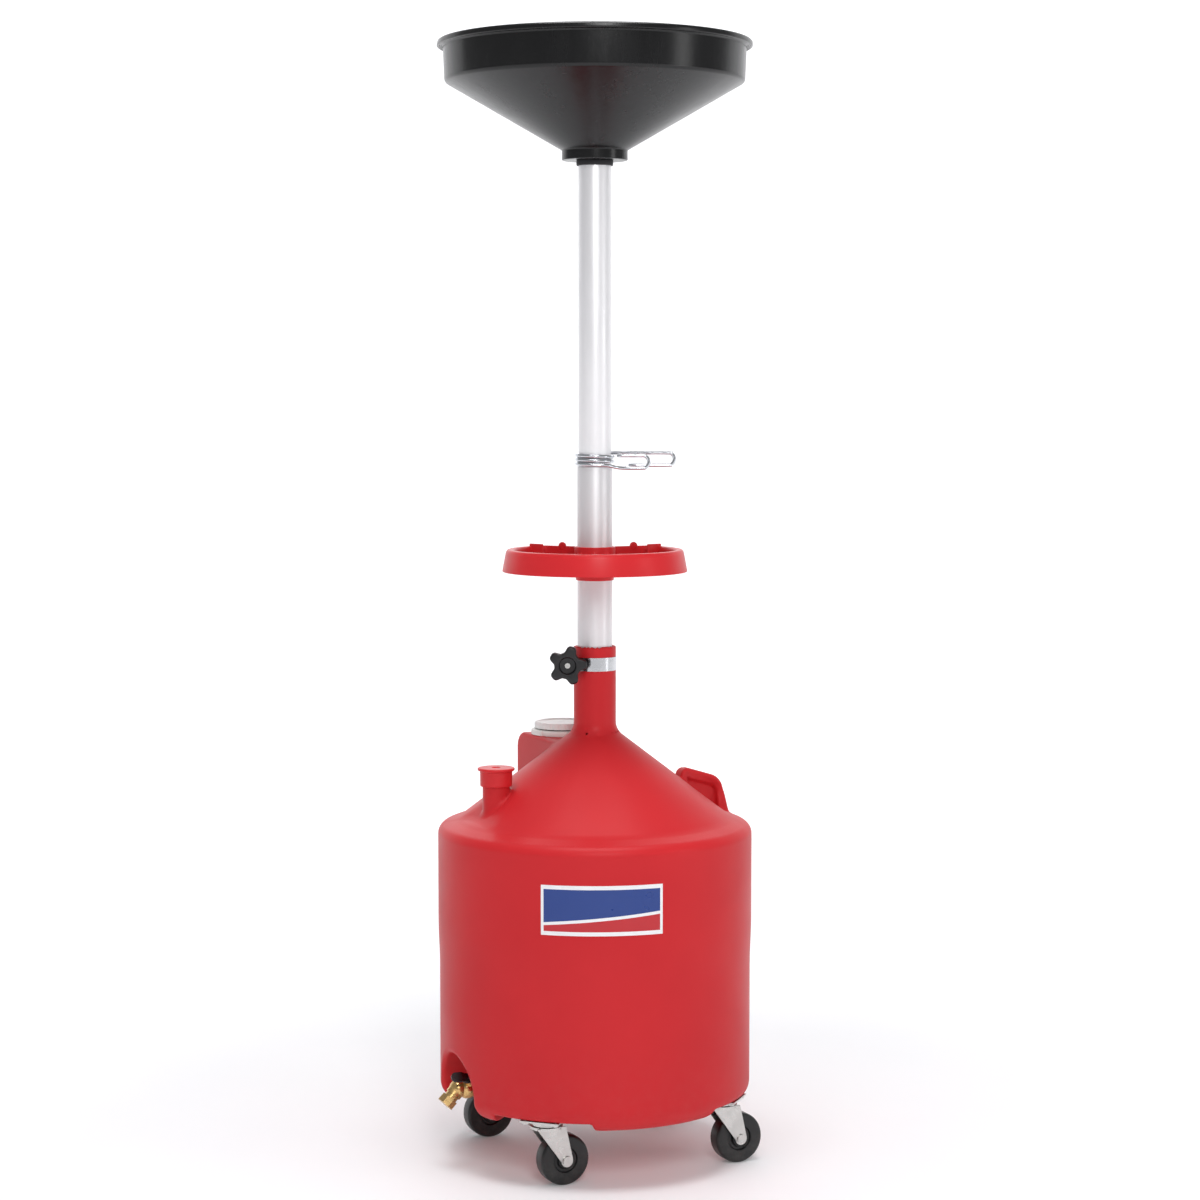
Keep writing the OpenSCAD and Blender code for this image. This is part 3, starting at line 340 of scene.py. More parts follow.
def skin(distance, lo, hi, h):
    """Surface nets: a vertex for each crossed cell, a quad for each crossed grid edge,
    then NEWTON_STEPS times p - d * slope.
    """
    axes = [np.arange(a, b + h, h) for a, b in zip(lo, hi)]
    X, Y, Z = axes[0][:, None, None], axes[1][None, :, None], axes[2][None, None, :]
    F = distance(X, Y, Z)
    inside = F < 0
    n = [len(a) - 1 for a in axes]
    corner = [(i, j, k) for i in (0, 1) for j in (0, 1) for k in (0, 1)]
    count = sum(inside[i:i + n[0], j:j + n[1], k:k + n[2]].astype(np.int8) for i, j, k in corner)
    cell = np.argwhere((count > 0) & (count < 8))
    index = np.full(n, -1, np.int64)
    index[tuple(cell.T)] = np.arange(len(cell))
    C = np.array(corner)
    values = F[tuple((cell[:, None] + C[None]).transpose(2, 0, 1))]
    pairs = np.array([(a, b) for a in range(8) for b in range(a + 1, 8) if np.abs(C[a] - C[b]).sum() == 1])
    va, vb = values[:, pairs[:, 0]], values[:, pairs[:, 1]]
    crossed = (va < 0) != (vb < 0)
    t = np.where(crossed, va / np.where(crossed, va - vb, 1), 0)[..., None]
    at = C[pairs[:, 0]] * (1 - t) + C[pairs[:, 1]] * t
    mean = (at * crossed[..., None]).sum(1) / crossed.sum(1)[:, None]
    V = np.array(lo, float) + (cell + mean) * h
    quads = []
    for axis in range(3):
        one, two = (axis + 1) % 3, (axis + 2) % 3
        low = np.moveaxis(inside, (axis, one, two), (0, 1, 2))
        edge = np.argwhere(low[:-1, 1:-1, 1:-1] != low[1:, 1:-1, 1:-1])
        leaving = low[:-1, 1:-1, 1:-1][tuple(edge.T)]
        ids = np.moveaxis(index, (axis, one, two), (0, 1, 2))
        i, j, k = edge.T
        q = np.stack([ids[i, j, k], ids[i, j + 1, k], ids[i, j + 1, k + 1], ids[i, j, k + 1]], 1)
        quads.append(np.where(leaving[:, None], q, q[:, ::-1]))
    for _ in range(NEWTON_STEPS):
        V = V - distance(*V.T)[:, None] * slope(distance, V)
    return V, np.concatenate(quads)


def slope(distance, V, e=0.05):
    """Unit slope of the distance, from differences e to each side."""
    g = np.stack([distance(*(V + e * d).T) - distance(*(V - e * d).T) for d in np.eye(3)], 1)
    return g / np.maximum(np.linalg.norm(g, axis=1), 1e-9)[:, None]


# %% Make the tank
H = 3.9
tank_points, tank_faces = skin(tank_distance, (-244, -244, TANK_Z - 8), (244, 244, NECK_TOP + 8), H)
tank = add_piece("tank_moulding", tank_points, tank_faces.tolist(), "tank", "red_tank",
                 ("tank_body", "tank_top", "tank_neck"), sharp=180.0)
tank.data.normals_split_custom_set_from_vertices(slope(tank_distance, tank_points).tolist())

# %% [markdown]
# ## The collecting bowl
# The bowl is spun or moulded in black plastic: a steep cone, an upright band
# and a lip curled outwards and down, which stiffens the rim. One section
# turned round the axis gives it, with the wall's real thickness.

# %% Turn the bowl and its collar
def weld(piece):
    """Closes the poles: points that lie on the axis become one."""
    b = bmesh.new()
    b.from_mesh(piece.data)
    bmesh.ops.remove_doubles(b, verts=b.verts, dist=1e-6)
    bmesh.ops.dissolve_degenerate(b, edges=b.edges, dist=1e-7)
    b.to_mesh(piece.data)
    b.free()
    return piece


lo, hi = span("bowl")
foot, top, rim = lo[2] + 14.7, hi[2], hi[0]
wall, band = rim - 11.0, lo[2] + 114.2
bowl_section = rounded(
    [(26.7, lo[2]), (48.6, lo[2]), (48.6, foot), (wall, band), (rim - 9, top - 10), (rim - 5.5, top - 6.5),
     (rim - 3.2, top - 9.5), (rim, top - 8), (rim, top), (rim - 11, top), (wall - 3.0, band + 0.8),
     (45.0, foot + 1.6), (20.0, foot + 1.3), (20.0, foot - 1.7), (26.7, foot - 1.7)],
    [0.6, 1.2, 3.0, 7.0, 4.0, 1.2, 0.9, 2.0, 4.2, 3.5, 9.0, 8.0, 1.0, 0.3, 0.3], 7)
rings("bowl_skin", bowl_section, "bowl", "black_bowl", ("bowl",), steps=192)
lo, hi = span("bowl_collar")
rings("rubber_collar", rounded([(24.25, lo[2]), (hi[0], lo[2]), (hi[0], lo[2] + 7.5), (hi[0] - 0.8, lo[2] + 7.6),
                                (hi[0] - 0.8, hi[2]), (24.25, hi[2])], [0.3, 1.6, 0.8, 0.1, 0.8, 0.3], 5),
      "upper_column", "black_rubber", ("bowl_collar",), steps=96)

# %% [markdown]
# ## The two tubes and the spring clip
# Both tubes are drawn stock: the lower is satin aluminium, the upper bright.
# The clip is one length of spring wire, two and a half turns round the upper
# tube with a loop at each end to squeeze. A round wire is a circle carried
# along a path, and a turning frame that never twists keeps it smooth.

# %% Turn the tubes
lo, hi = span("upper_tube")
rings("upper_tube_drawn", tube_section(hi[0], hi[0] - 1.5, lo[2], hi[2], 0.5), "upper_column",
      "bright_aluminium", ("upper_tube",), steps=96)
lo, hi = span("lower_tube")
TUBE_TOP = hi[2]
rings("lower_tube_drawn", rounded([(24.8, lo[2]), (26, lo[2]), (26, TUBE_TOP), (24.5, TUBE_TOP),
                                   (24.5, TUBE_TOP - 3), (24.8, TUBE_TOP - 3.3)], [0.4, 0.4, 0.9, 0.3, 0.2, 0.2], 5),
      "lower_column", "satin_aluminium", ("lower_tube",), steps=96)


# %% Bend the spring clip
def smooth_path(P, steps=6):
    """Catmull-Rom curve through the points: each span is the cubic of its four neighbours."""
    Q = np.concatenate([2 * P[:1] - P[1:2], P, 2 * P[-1:] - P[-2:-1]])
    t = np.linspace(0, 1, steps, endpoint=False)[None, :, None]
    a, b, c, d = (Q[i:len(Q) - 3 + i, None] for i in range(4))
    curve = 0.5 * (2 * b + (c - a) * t + (2 * a - 5 * b + 4 * c - d) * t ** 2 + (3 * b - a - 3 * c + d) * t ** 3)
    return np.concatenate([curve.reshape(-1, 3), P[-1:]])


def wire(path, radius, sides=14):
    """A circle of that radius on each path point, square to it; its sideways vector is carried along and kept square."""
    d = np.gradient(path, axis=0)
    d /= np.linalg.norm(d, axis=1)[:, None]
    s = np.zeros_like(d)
    now = np.cross(d[0], (0.3, 1, 0.2))
    for i in range(len(d)):
        now = now - d[i] * (now @ d[i])
        now /= np.linalg.norm(now)
        s[i] = now
    u = np.cross(d, s)
    a = np.linspace(0, 2 * np.pi, sides, endpoint=False)[None, :, None]
    V = path[:, None] + radius * (np.cos(a) * s[:, None] + np.sin(a) * u[:, None])
    ends = np.concatenate([path[:1] - d[:1] * radius * 0.6, path[-1:] + d[-1:] * radius * 0.6])
    n, m = len(path), sides
    k = np.arange(m)
    caps = [[n * m, int(b), int(a)] for a, b in zip(k, (k + 1) % m)]
    caps += [[n * m + 1, int((n - 1) * m + a), int((n - 1) * m + b)] for a, b in zip(k, (k + 1) % m)]
    return np.concatenate([V.reshape(-1, 3), ends]), ring_faces(n, m, False) + caps


def turned(degrees):
    """Rotation about +Z."""
    a = np.radians(degrees)
    return np.array([[np.cos(a), -np.sin(a), 0], [np.sin(a), np.cos(a), 0], [0, 0, 1]])


FRONT = turned(-25.0)
COIL_R, PITCH, END = 27.25, 6.44, TUBE_TOP + 2.9
START = END + 2.5 * PITCH
half = np.radians(np.arange(-90, 91, 30))
turns = np.radians(90 + 15.0 * np.arange(61))
spiral = np.stack([COIL_R * np.cos(turns), COIL_R * np.sin(turns), START - PITCH * np.arange(61) / 24], 1)
loop_a = np.stack([109 + 9.2 * np.cos(half), 4 + 0 * half, START - 8 + 9.2 * np.sin(half)], 1)
loop_b = np.stack([71 + 9.2 * np.cos(half), -7 + 0 * half, END + 4.2 + 9.2 * np.sin(half)], 1)
clip_path = np.concatenate([[[51, 4, START - 17.2]], loop_a, [[40, 9, START + 1], [16, 24.65, START + 0.4]], spiral,
                            [[18, -24.75, END - 0.6], [38, -12, END - 4.6]], loop_b, [[34, -7, END + 13.4]]])
clip_points, clip_faces = wire(smooth_path(clip_path), 2.7)
add_piece("spring_clip_wire", clip_points @ FRONT.T, clip_faces, "lower_column", "spring_wire",
          ("spring_clip",), 60)

# %% [markdown]
# ## The tool tray
# The tray is a red moulding clamped round the column: a broad rim that rolls
# over and flares down, a shallow V at its back, a hub, and ribs that divide
# the floor. Its plan isn't round, so its rings follow an outline: at each
# angle the radius is the lesser of the rim's circle and the line of the V.

# %% Mould the tray
def least(a, b, k=2.0):
    """A rounded minimum: -k log(exp(-a/k) + exp(-b/k))."""
    m = np.minimum(a, b)
    return m - k * np.log(np.exp(-(a - m) / k) + np.exp(-(b - m) / k))


def back_line(t):
    """Radius at which the V, y = 61 + 0.474 |x|, is met at angle t."""
    fall = np.sin(t) - 0.474 * np.abs(np.cos(t))
    return np.where(fall > 0.05, 61.0 / np.maximum(fall, 0.05), 900.0)


def prism(outline, z0, z1, edge):
    """An outline raised from z0 to z1, its rings moved in by edge at both ends, each end closed by one face."""
    O = np.asarray(outline, float)
    T = np.roll(O, -1, 0) - np.roll(O, 1, 0)
    N = np.stack([T[:, 1], -T[:, 0]], 1) / np.maximum(np.linalg.norm(T, axis=1), 1e-9)[:, None]
    a = np.radians([90, 60, 30, 0])
    inset = np.concatenate([edge * (1 - np.cos(a)), edge * (1 - np.cos(a[::-1]))])
    level = np.concatenate([z0 + edge * (1 - np.sin(a)), z1 - edge * (1 - np.sin(a[::-1]))])
    V = np.stack([np.column_stack([O - N * i, np.full(len(O), h)]) for i, h in zip(inset, level)])
    n, m = len(inset), len(O)
    faces = ring_faces(n, m, False) + [list(range(m))[::-1], list(range((n - 1) * m, n * m))]
    return V.reshape(-1, 3), faces


def together(shapes):
    """Several closed shapes as one list of points and faces."""
    starts = np.cumsum([0] + [len(V) for V, _ in shapes[:-1]])
    faces = [[i + s for i in f] for (_, fs), s in zip(shapes, starts.tolist()) for f in fs]
    return np.concatenate([V for V, _ in shapes]), faces


TRAY_Z = span("tray_hub")[0][2] + 13.0
tray_corners = [(26.08, -13, 0), (28.4, -13, 0), (28.4, 0, 0), (119, 0, 4.4), (122.5, 24, 2.4), (129.5, 27.5, 2.0),
                (134.5, 0, 1.6), (138, 0, 0), (133, 27, 0), (131, 33, 0), (121, 33, 4), (119, 27, 4.2), (119, 3, 4.4),
                (30.6, 3, 0), (30.6, 37, 0), (26.08, 37, 0)]
tray_section = rounded(tray_corners, [0.3, 1, 1, 2, 2, 2, 1, 1, 6, 5, 5, 4, 3, 2, 1.2, 0.5], 6)
angles = np.linspace(0, 2 * np.pi, 288, endpoint=False)
tray_radii = least(tray_section[:, :1] + 0 * angles, back_line(angles)[None] - tray_section[:, 2:])
tray_xyz = np.stack([tray_radii * np.cos(angles), tray_radii * np.sin(angles),
                     TRAY_Z + np.repeat(tray_section[:, 1:2], 288, 1)], -1).reshape(-1, 3)
ribs = []
for side in (-48, 48):
    V, f = prism(rounded([(29, -1.6), (120, -1.6), (120, 1.6), (29, 1.6)], 1.2, 4), TRAY_Z + 2, TRAY_Z + 26, 1.0)
    ribs.append((V @ turned(-90 + side).T, f))
upright = np.array([[1, 0, 0], [0, 0, -1], [0, 1, 0]])
for side in (-40, 0, 40, 140, 220):
    V, f = prism(rounded([(29, 1), (43, 1), (29, 34)], [0.2, 0.8, 0.8], 4), -1.25, 1.25, 0.6)
    ribs.append((V @ upright.T @ turned(-90 + side).T + (0, 0, TRAY_Z), f))
for side in (-128, 128):
    V, f = prism(rounded([(100, -1.4), (126, -1.4), (126, 1.4), (100, 1.4)], 1.0, 4), TRAY_Z + 2, TRAY_Z + 37, 1.2)
    ribs.append((V @ turned(-90 + side).T, f))
round_lug = 6.0 * np.column_stack([np.cos(angles[::12]), np.sin(angles[::12])])
for side, x in ((-1, -50.0), (1, 58.0)):
    V, f = prism(round_lug, -2.0, 2.0, 1.0)
    ribs.append((V @ upright.T @ turned(side * 25.4).T + (x, 60.0 + 0.474 * abs(x), TRAY_Z + 33.0), f))
tray_all = together([(tray_xyz, ring_faces(len(tray_section), 288, True))] + ribs)
add_piece("tool_tray_moulding", tray_all[0] @ FRONT.T, tray_all[1], "tool_tray", "red_gloss",
          ("tool_tray", "tray_hub"))

# %% [markdown]
# ## Caps, filler and star knob
# The port's cap and the filler's lid are turned sections. The filler flange
# has four dark notches for its bayonet lugs. The star knob is the ring
# method again: round at its hub and its nut pocket, five-lobed at its rim.

# %% Port cap, filler flange and lid
lo, hi = span("port_cap")
rings("port_cap_moulding", rounded(
    [(0, hi[2] - 4.0), (20.3, hi[2] - 4.0), (20.3, lo[2]), (23.7, lo[2]), (23.9, hi[2] - 4.6), (hi[1], hi[2] - 4.2),
     (hi[1], hi[2]), (7, hi[2]), (5.5, hi[2] - 1.5), (0, hi[2] - 1.5)], [0, 1, 0.6, 1.2, 1.0, 1.6, 1.8, 0.8, 0.8, 0], 6),
    "port_cap", "red_gloss", ("port_cap",), centre=(PORT_X, 0, 0), steps=96)
weld(bpy.data.objects["port_cap_moulding"])


def notched(t):
    """A circle of 48 with four short notches 3 deep, each a smooth bump in cos 4t."""
    return 48.0 - 3.0 * np.clip((np.cos(4 * (t - 0.5)) - 0.955) / 0.02, 0, 1)


lo, hi = span("filler_flange")
flange = rounded([(32, lo[2]), (35.9, lo[2]), (35.9, lo[2] + 18), (48, lo[2] + 18.05), (48, hi[2]), (32, hi[2])],
                 [0.5, 0.8, 0.2, 0.6, 2.2, 0.8], 5)
rings("filler_flange_moulding", flange, "tank", "seat_plastic", ("filler_flange",), centre=(0, FILL_Y, 0), steps=288,
      outline=notched, mix=np.clip((flange[:, 0] - 40) / 6, 0, 1))
lo, hi = span("filler_lid")


def gripped(t):
    """A circle of 43 with 24 shallow finger flutes."""
    return 43.0 - 1.1 * np.clip(np.cos(24 * t), 0, 1) ** 2


seat = hi[2] - 9.5
lid = rounded([(0, seat - 2), (28.7, seat - 2), (28.7, lo[2]), (31.7, lo[2]), (31.7, seat), (43, seat), (43, hi[2]),
               (37, hi[2]), (35, hi[2] - 2), (0, hi[2] - 2)], [0, 1, 0.5, 0.5, 0.3, 0.8, 1.8, 1.2, 1.5, 0], 5)
rings("filler_lid_moulding", lid, "filler_lid", "white_plastic", ("filler_lid",), centre=(0, FILL_Y, 0), steps=288,
      outline=gripped, mix=np.clip((lid[:, 0] - 38) / 3, 0, 1))
weld(bpy.data.objects["filler_lid_moulding"])


# %% Star knob on its stud
def five_lobes(t):
    """29 at a lobe and about 19.5 in a waist: a cosine in 5t with its crests broadened."""
    c = np.cos(5 * (t - np.radians(4)))
    return 24.4 + 4.6 * np.sin(c * np.pi / 2 * 0.98) / np.sin(np.pi / 2 * 0.98)


STUD = np.column_stack([FRONT @ (1, 0, 0), (0, 0, 1), FRONT @ (0, -1, 0)])
STUD_AT = FRONT @ (-40.0, 0, 0) + (0, 0, NECK_TOP - 26.0)
knob_corners = [(4.05, 5.3, 0), (6, 5.3, 0), (6, 19, 0), (10.3, 20, 0), (10.3, 34, 0), (29, 34, 1), (29, 49, 1),
                (13.0, 49, 0), (11.5, 44, 0), (4.05, 44, 0)]
knob = rounded(knob_corners, [0.2, 0.8, 1, 1.5, 2, 3.5, 3.5, 1.5, 0.8, 0.2], 6)
rings("star_knob_moulding", knob[:, :2], "star_knob", "black_knob", ("star_knob",), centre=STUD_AT, steps=240,
      outline=five_lobes, mix=np.clip(knob[:, 2], 0, 1), frame3=STUD)

# %% [markdown]
# ## Caster wheels
# Each wheel is one moulding: a broad tread with rounded shoulders, a flat
# face, a step down into a dish, and a hub that stands proud round the bush.

# %% Turn the wheels
AXLE = np.column_stack([(1, 0, 0), (0, 0, -1), (0, 1, 0)])
wheel = rounded([(6.55, -15), (11.5, -15), (13, -9.5), (17.6, -9.5), (18.6, -13), (37.5, -13), (37.5, 13), (18.6, 13),
                 (17.6, 9.5), (13, 9.5), (11.5, 15), (6.55, 15)],
                [0.4, 1, 1.5, 1.2, 1.0, 5, 5, 1.0, 1.2, 1.5, 1, 0.4], 7)
for corner in ("fl", "fr", "rl", "rr"):
    lo, hi = span(f"caster_{corner}_wheel")
    rings(f"caster_{corner}_tyre", wheel, f"caster_{corner}_wheel", "wheel_black", (f"caster_{corner}_wheel",),
          centre=(lo + hi) / 2, steps=112, frame3=AXLE)

# %% [markdown]
# ## Effects that finishes share
# Plastic, rubber and metal differ in colour and gloss, but share effects: a
# fine grain, slow drifts of tone, dust that settles low down, and hairline
# scratches. Each is a node group, built once and given its own values in
# every finish. Patterns read Object coordinates, so they stay on the piece.

# %% Node helpers
def node(tree, kind, inputs=None, **settings):
    """Adds a node; an input given as a socket is linked, any other value is set."""
    n = tree.nodes.new("ShaderNode" + kind)
    for key, value in settings.items():
        setattr(n, key, value)
    for key, value in (inputs or {}).items():
        if isinstance(value, bpy.types.NodeSocket):
            tree.links.new(value, n.inputs[key])
        else:
            n.inputs[key].default_value = value
    return n


def new_group(name, inputs, outputs):
    """A node group with named sockets; returns its tree and its input and output nodes."""
    tree = bpy.data.node_groups.new(name, "ShaderNodeTree")
    for label, kind, value in inputs:
        socket = tree.interface.new_socket(name=label, in_out="INPUT", socket_type="NodeSocket" + kind)
        socket.default_value = value
    for label, kind in outputs:
        tree.interface.new_socket(name=label, in_out="OUTPUT", socket_type="NodeSocket" + kind)
    return tree, tree.nodes.new("NodeGroupInput"), tree.nodes.new("NodeGroupOutput")


def mixed(tree, amount, one, two):
    """A colour mix by a factor."""
    n = node(tree, "Mix", {0: amount, 6: one, 7: two}, data_type="RGBA")
    return n.outputs[2]


# %% Grain, drift, dust and scratches
grain, gin, gout = new_group("surface_grain", [("Scale", "Float", 300.0), ("Stretch", "Vector", (1, 1, 1)),
                                               ("Detail", "Float", 3.0)], [("Height", "Float")])
place = node(grain, "TexCoord").outputs["Object"]
stretched = node(grain, "VectorMath", {0: place, 1: gin.outputs["Stretch"]}, operation="MULTIPLY").outputs[0]
noise = node(grain, "TexNoise", {"Vector": stretched, "Scale": gin.outputs["Scale"], "Detail": gin.outputs["Detail"]})
grain.links.new(noise.outputs["Fac"], gout.inputs["Height"])

drift, din, dout = new_group("tone_drift", [("Colour", "Color", (1, 1, 1, 1)), ("Other", "Color", (0, 0, 0, 1)),
                                            ("Scale", "Float", 6.0), ("Amount", "Float", 0.3)],
                             [("Colour", "Color"), ("Mask", "Float")])
place = node(drift, "TexCoord").outputs["Object"]
noise = node(drift, "TexNoise", {"Vector": place, "Scale": din.outputs["Scale"], "Detail": 4.0, "Roughness": 0.55})
spread = node(drift, "MapRange", {"Value": noise.outputs["Fac"], "From Min": 0.35, "From Max": 0.68})
share = node(drift, "Math", {0: spread.outputs[0], 1: din.outputs["Amount"]}, operation="MULTIPLY").outputs[0]
drift.links.new(mixed(drift, share, din.outputs["Colour"], din.outputs["Other"]), dout.inputs["Colour"])
drift.links.new(spread.outputs[0], dout.inputs["Mask"])

dust, uin, uout = new_group("low_dust", [("Colour", "Color", (1, 1, 1, 1)), ("Dust", "Color", (0.35, 0.33, 0.3, 1)),
                                         ("Top", "Float", 0.2), ("Amount", "Float", 0.2)],
                            [("Colour", "Color"), ("Mask", "Float")])
place = node(dust, "TexCoord").outputs["Object"]
height = node(dust, "SeparateXYZ", {0: place}).outputs["Z"]
low = node(dust, "MapRange", {"Value": height, "From Min": uin.outputs["Top"], "From Max": 0.0}).outputs[0]
speck = node(dust, "TexNoise", {"Vector": place, "Scale": 60.0, "Detail": 6.0, "Roughness": 0.7}).outputs["Fac"]
speck = node(dust, "MapRange", {"Value": speck, "From Min": 0.4, "From Max": 0.75}).outputs[0]
mask = node(dust, "Math", {0: low, 1: speck}, operation="MULTIPLY").outputs[0]
mask = node(dust, "Math", {0: mask, 1: uin.outputs["Amount"]}, operation="MULTIPLY").outputs[0]
dust.links.new(mixed(dust, mask, uin.outputs["Colour"], uin.outputs["Dust"]), uout.inputs["Colour"])
dust.links.new(mask, uout.inputs["Mask"])

scratch, sin_, sout = new_group("hairlines", [("Scale", "Float", 40.0), ("Stretch", "Vector", (1, 1, 0.05))],
                                [("Mask", "Float")])
place = node(scratch, "TexCoord").outputs["Object"]
bent = node(scratch, "VectorMath", {0: place, 1: sin_.outputs["Stretch"]}, operation="MULTIPLY").outputs[0]
lines = node(scratch, "TexNoise", {"Vector": bent, "Scale": sin_.outputs["Scale"], "Detail": 8.0, "Roughness": 0.75})
thin = node(scratch, "MapRange", {"Value": lines.outputs["Fac"], "From Min": 0.42, "From Max": 0.62}).outputs[0]
scratch.links.new(thin, sout.inputs["Mask"])
print("groups:", [g.name for g in bpy.data.node_groups])

# %% [markdown]
# ## Finishes
# One recipe makes every finish from the shared effects. What sets them apart
# is in the table: colour, how far the tone drifts, roughness and its spread,
# the grain's size and depth, and the direction in which metal was brushed.

# %% The recipe
def linear(r, g, b):
    """Screen colour from 0 to 255 to linear light."""
    c = np.array([r, g, b]) / 255.0
    c = np.where(c <= 0.04045, c / 12.92, ((c + 0.055) / 1.055) ** 2.4)
    return (*c.tolist(), 1.0)


def finish(name, colour, other, drift_by=(6.0, 0.3), rough=(0.4, 0.06), grain_of=(500.0, (1, 1, 1), 0.05),
           metallic=0.0, hair=None, dusty=None, specular=0.5):
    """Base colour: drift, then dust. Roughness: middle and spread by drift, plus hairlines and dust. Bump: grain."""
    mat = bpy.data.materials.new(name)
    mat.use_nodes = True
    tree = mat.node_tree
    shader = tree.nodes["Principled BSDF"]
    tone = node(tree, "Group", {}, node_tree=drift)
    tone.inputs["Colour"].default_value, tone.inputs["Other"].default_value = colour, other
    tone.inputs["Scale"].default_value, tone.inputs["Amount"].default_value = drift_by
    base, rough_mask = tone.outputs["Colour"], tone.outputs["Mask"]
    gloss = node(tree, "MapRange", {"Value": rough_mask, "To Min": rough[0] - rough[1], "To Max": rough[0] + rough[1]})
    gloss = gloss.outputs[0]
    if hair:
        lines_in = node(tree, "Group", {}, node_tree=scratch)
        lines_in.inputs["Scale"].default_value, lines_in.inputs["Stretch"].default_value = hair[0], hair[1]
        more = node(tree, "Math", {0: lines_in.outputs[0], 1: hair[2]}, operation="MULTIPLY").outputs[0]
        gloss = node(tree, "Math", {0: gloss, 1: more}, operation="ADD").outputs[0]
    if dusty:
        settled = node(tree, "Group", {}, node_tree=dust)
        tree.links.new(base, settled.inputs["Colour"])
        settled.inputs["Top"].default_value, settled.inputs["Amount"].default_value = dusty
        base = settled.outputs["Colour"]
        gloss = node(tree, "Math", {0: gloss, 1: settled.outputs["Mask"]}, operation="ADD").outputs[0]
    tree.links.new(base, shader.inputs["Base Color"])
    tree.links.new(gloss, shader.inputs["Roughness"])
    fine = node(tree, "Group", {}, node_tree=grain)
    fine.inputs["Scale"].default_value, fine.inputs["Stretch"].default_value = grain_of[0], grain_of[1]
    bump = node(tree, "Bump", {"Strength": 1.0, "Distance": grain_of[2] * MM, "Height": fine.outputs["Height"]})
    tree.links.new(bump.outputs[0], shader.inputs["Normal"])
    shader.inputs["Metallic"].default_value = metallic
    shader.inputs["Specular IOR Level"].default_value = specular
    mat.diffuse_color = colour
    return mat


# %% The table of finishes
RED, RED_DEEP = linear(203, 42, 47), linear(187, 36, 42)
BLACK, BLACK_SOFT = linear(14, 14, 16), linear(30, 30, 33)
finishes = {
    "red_tank": finish("moulded_red", RED, RED_DEEP, (5.0, 0.35), (0.42, 0.05), (420.0, (1, 1, 1), 0.10),
                       dusty=(0.22, 0.06), specular=0.16),
    "red_gloss": finish("glossy_red", linear(208, 42, 47), RED_DEEP, (9.0, 0.3), (0.34, 0.05), (260.0, (1, 1, 1), 0.04),
                        specular=0.22),
    "black_bowl": finish("gloss_black", linear(7, 7, 8), linear(16, 16, 18), (4.0, 0.25), (0.22, 0.04),
                         (120.0, (1, 1, 1), 0.10), specular=0.42, hair=(30.0, (1, 1, 0.2), 0.05)),
    "black_knob": finish("satin_black", BLACK, BLACK_SOFT, (20.0, 0.4), (0.36, 0.06), (900.0, (1, 1, 1), 0.05)),
    "black_rubber": finish("rubber_black", BLACK_SOFT, linear(40, 40, 42), (30.0, 0.4), (0.68, 0.08),
                           (1200.0, (1, 1, 1), 0.06)),
    "wheel_black": finish("wheel_black", linear(13, 13, 14), linear(26, 26, 27), (25.0, 0.4), (0.36, 0.06),
                          (700.0, (1, 1, 1), 0.05), dusty=(0.06, 0.14)),
    "white_plastic": finish("lid_white", linear(240, 240, 238), linear(226, 227, 226), (20.0, 0.4), (0.34, 0.05),
                            (700.0, (1, 1, 1), 0.04)),
    "seat_plastic": finish("flange_white", linear(236, 236, 232), linear(214, 214, 210), (20.0, 0.4), (0.4, 0.05),
                           (700.0, (1, 1, 1), 0.05)),
    "satin_aluminium": finish("drawn_aluminium", linear(232, 231, 233), linear(220, 219, 221), (14.0, 0.4),
                              (0.42, 0.05), (900.0, (1, 1, 0.03), 0.02), metallic=0.55, hair=(160.0, (1, 1, 0.03), 0.08)),
    "bright_aluminium": finish("bright_aluminium", linear(246, 245, 247), linear(238, 237, 239), (14.0, 0.3),
                               (0.40, 0.04), (900.0, (1, 1, 0.03), 0.012), metallic=0.45,
                               hair=(160.0, (1, 1, 0.03), 0.06)),
    "polished_steel": finish("polished_strip", linear(212, 213, 216), linear(196, 197, 201), (30.0, 0.5),
                             (0.14, 0.04), (500.0, (1, 1, 8), 0.02), metallic=1.0, hair=(90.0, (0.2, 0.2, 2.0), 0.10)),
    "spring_wire": finish("spring_wire", linear(214, 216, 220), linear(188, 190, 196), (60.0, 0.5), (0.18, 0.05),
                          (1500.0, (1, 1, 1), 0.01), metallic=1.0),
    "zinc": finish("zinc_plate", linear(206, 205, 202), linear(190, 189, 186), (55.0, 0.4), (0.27, 0.06),
                   (800.0, (1, 1, 1), 0.03), metallic=1.0, hair=(70.0, (1, 1, 1), 0.08), dusty=(0.08, 0.12)),
    "chrome": finish("polished_ball", linear(224, 225, 228), linear(206, 208, 212), (40.0, 0.3), (0.08, 0.02),
                     (800.0, (1, 1, 1), 0.005), metallic=1.0),
    "brass": finish("machined_brass", linear(224, 188, 128), linear(204, 166, 104), (60.0, 0.5), (0.26, 0.07),
                    (900.0, (1, 1, 1), 0.03), metallic=1.0, hair=(120.0, (1, 1, 1), 0.08)),
    "black_lever": finish("coated_black", BLACK, BLACK_SOFT, (40.0, 0.5), (0.34, 0.06), (1500.0, (1, 1, 1), 0.03)),
}
print("finishes:", len(finishes))

# %% [markdown]
# ## The label
# The tank carries a printed film. Its maker's design isn't copied: this one
# is a plain white film with a blue field and a red band and no lettering.
# The pattern is measured from the angle round the tank and the height.

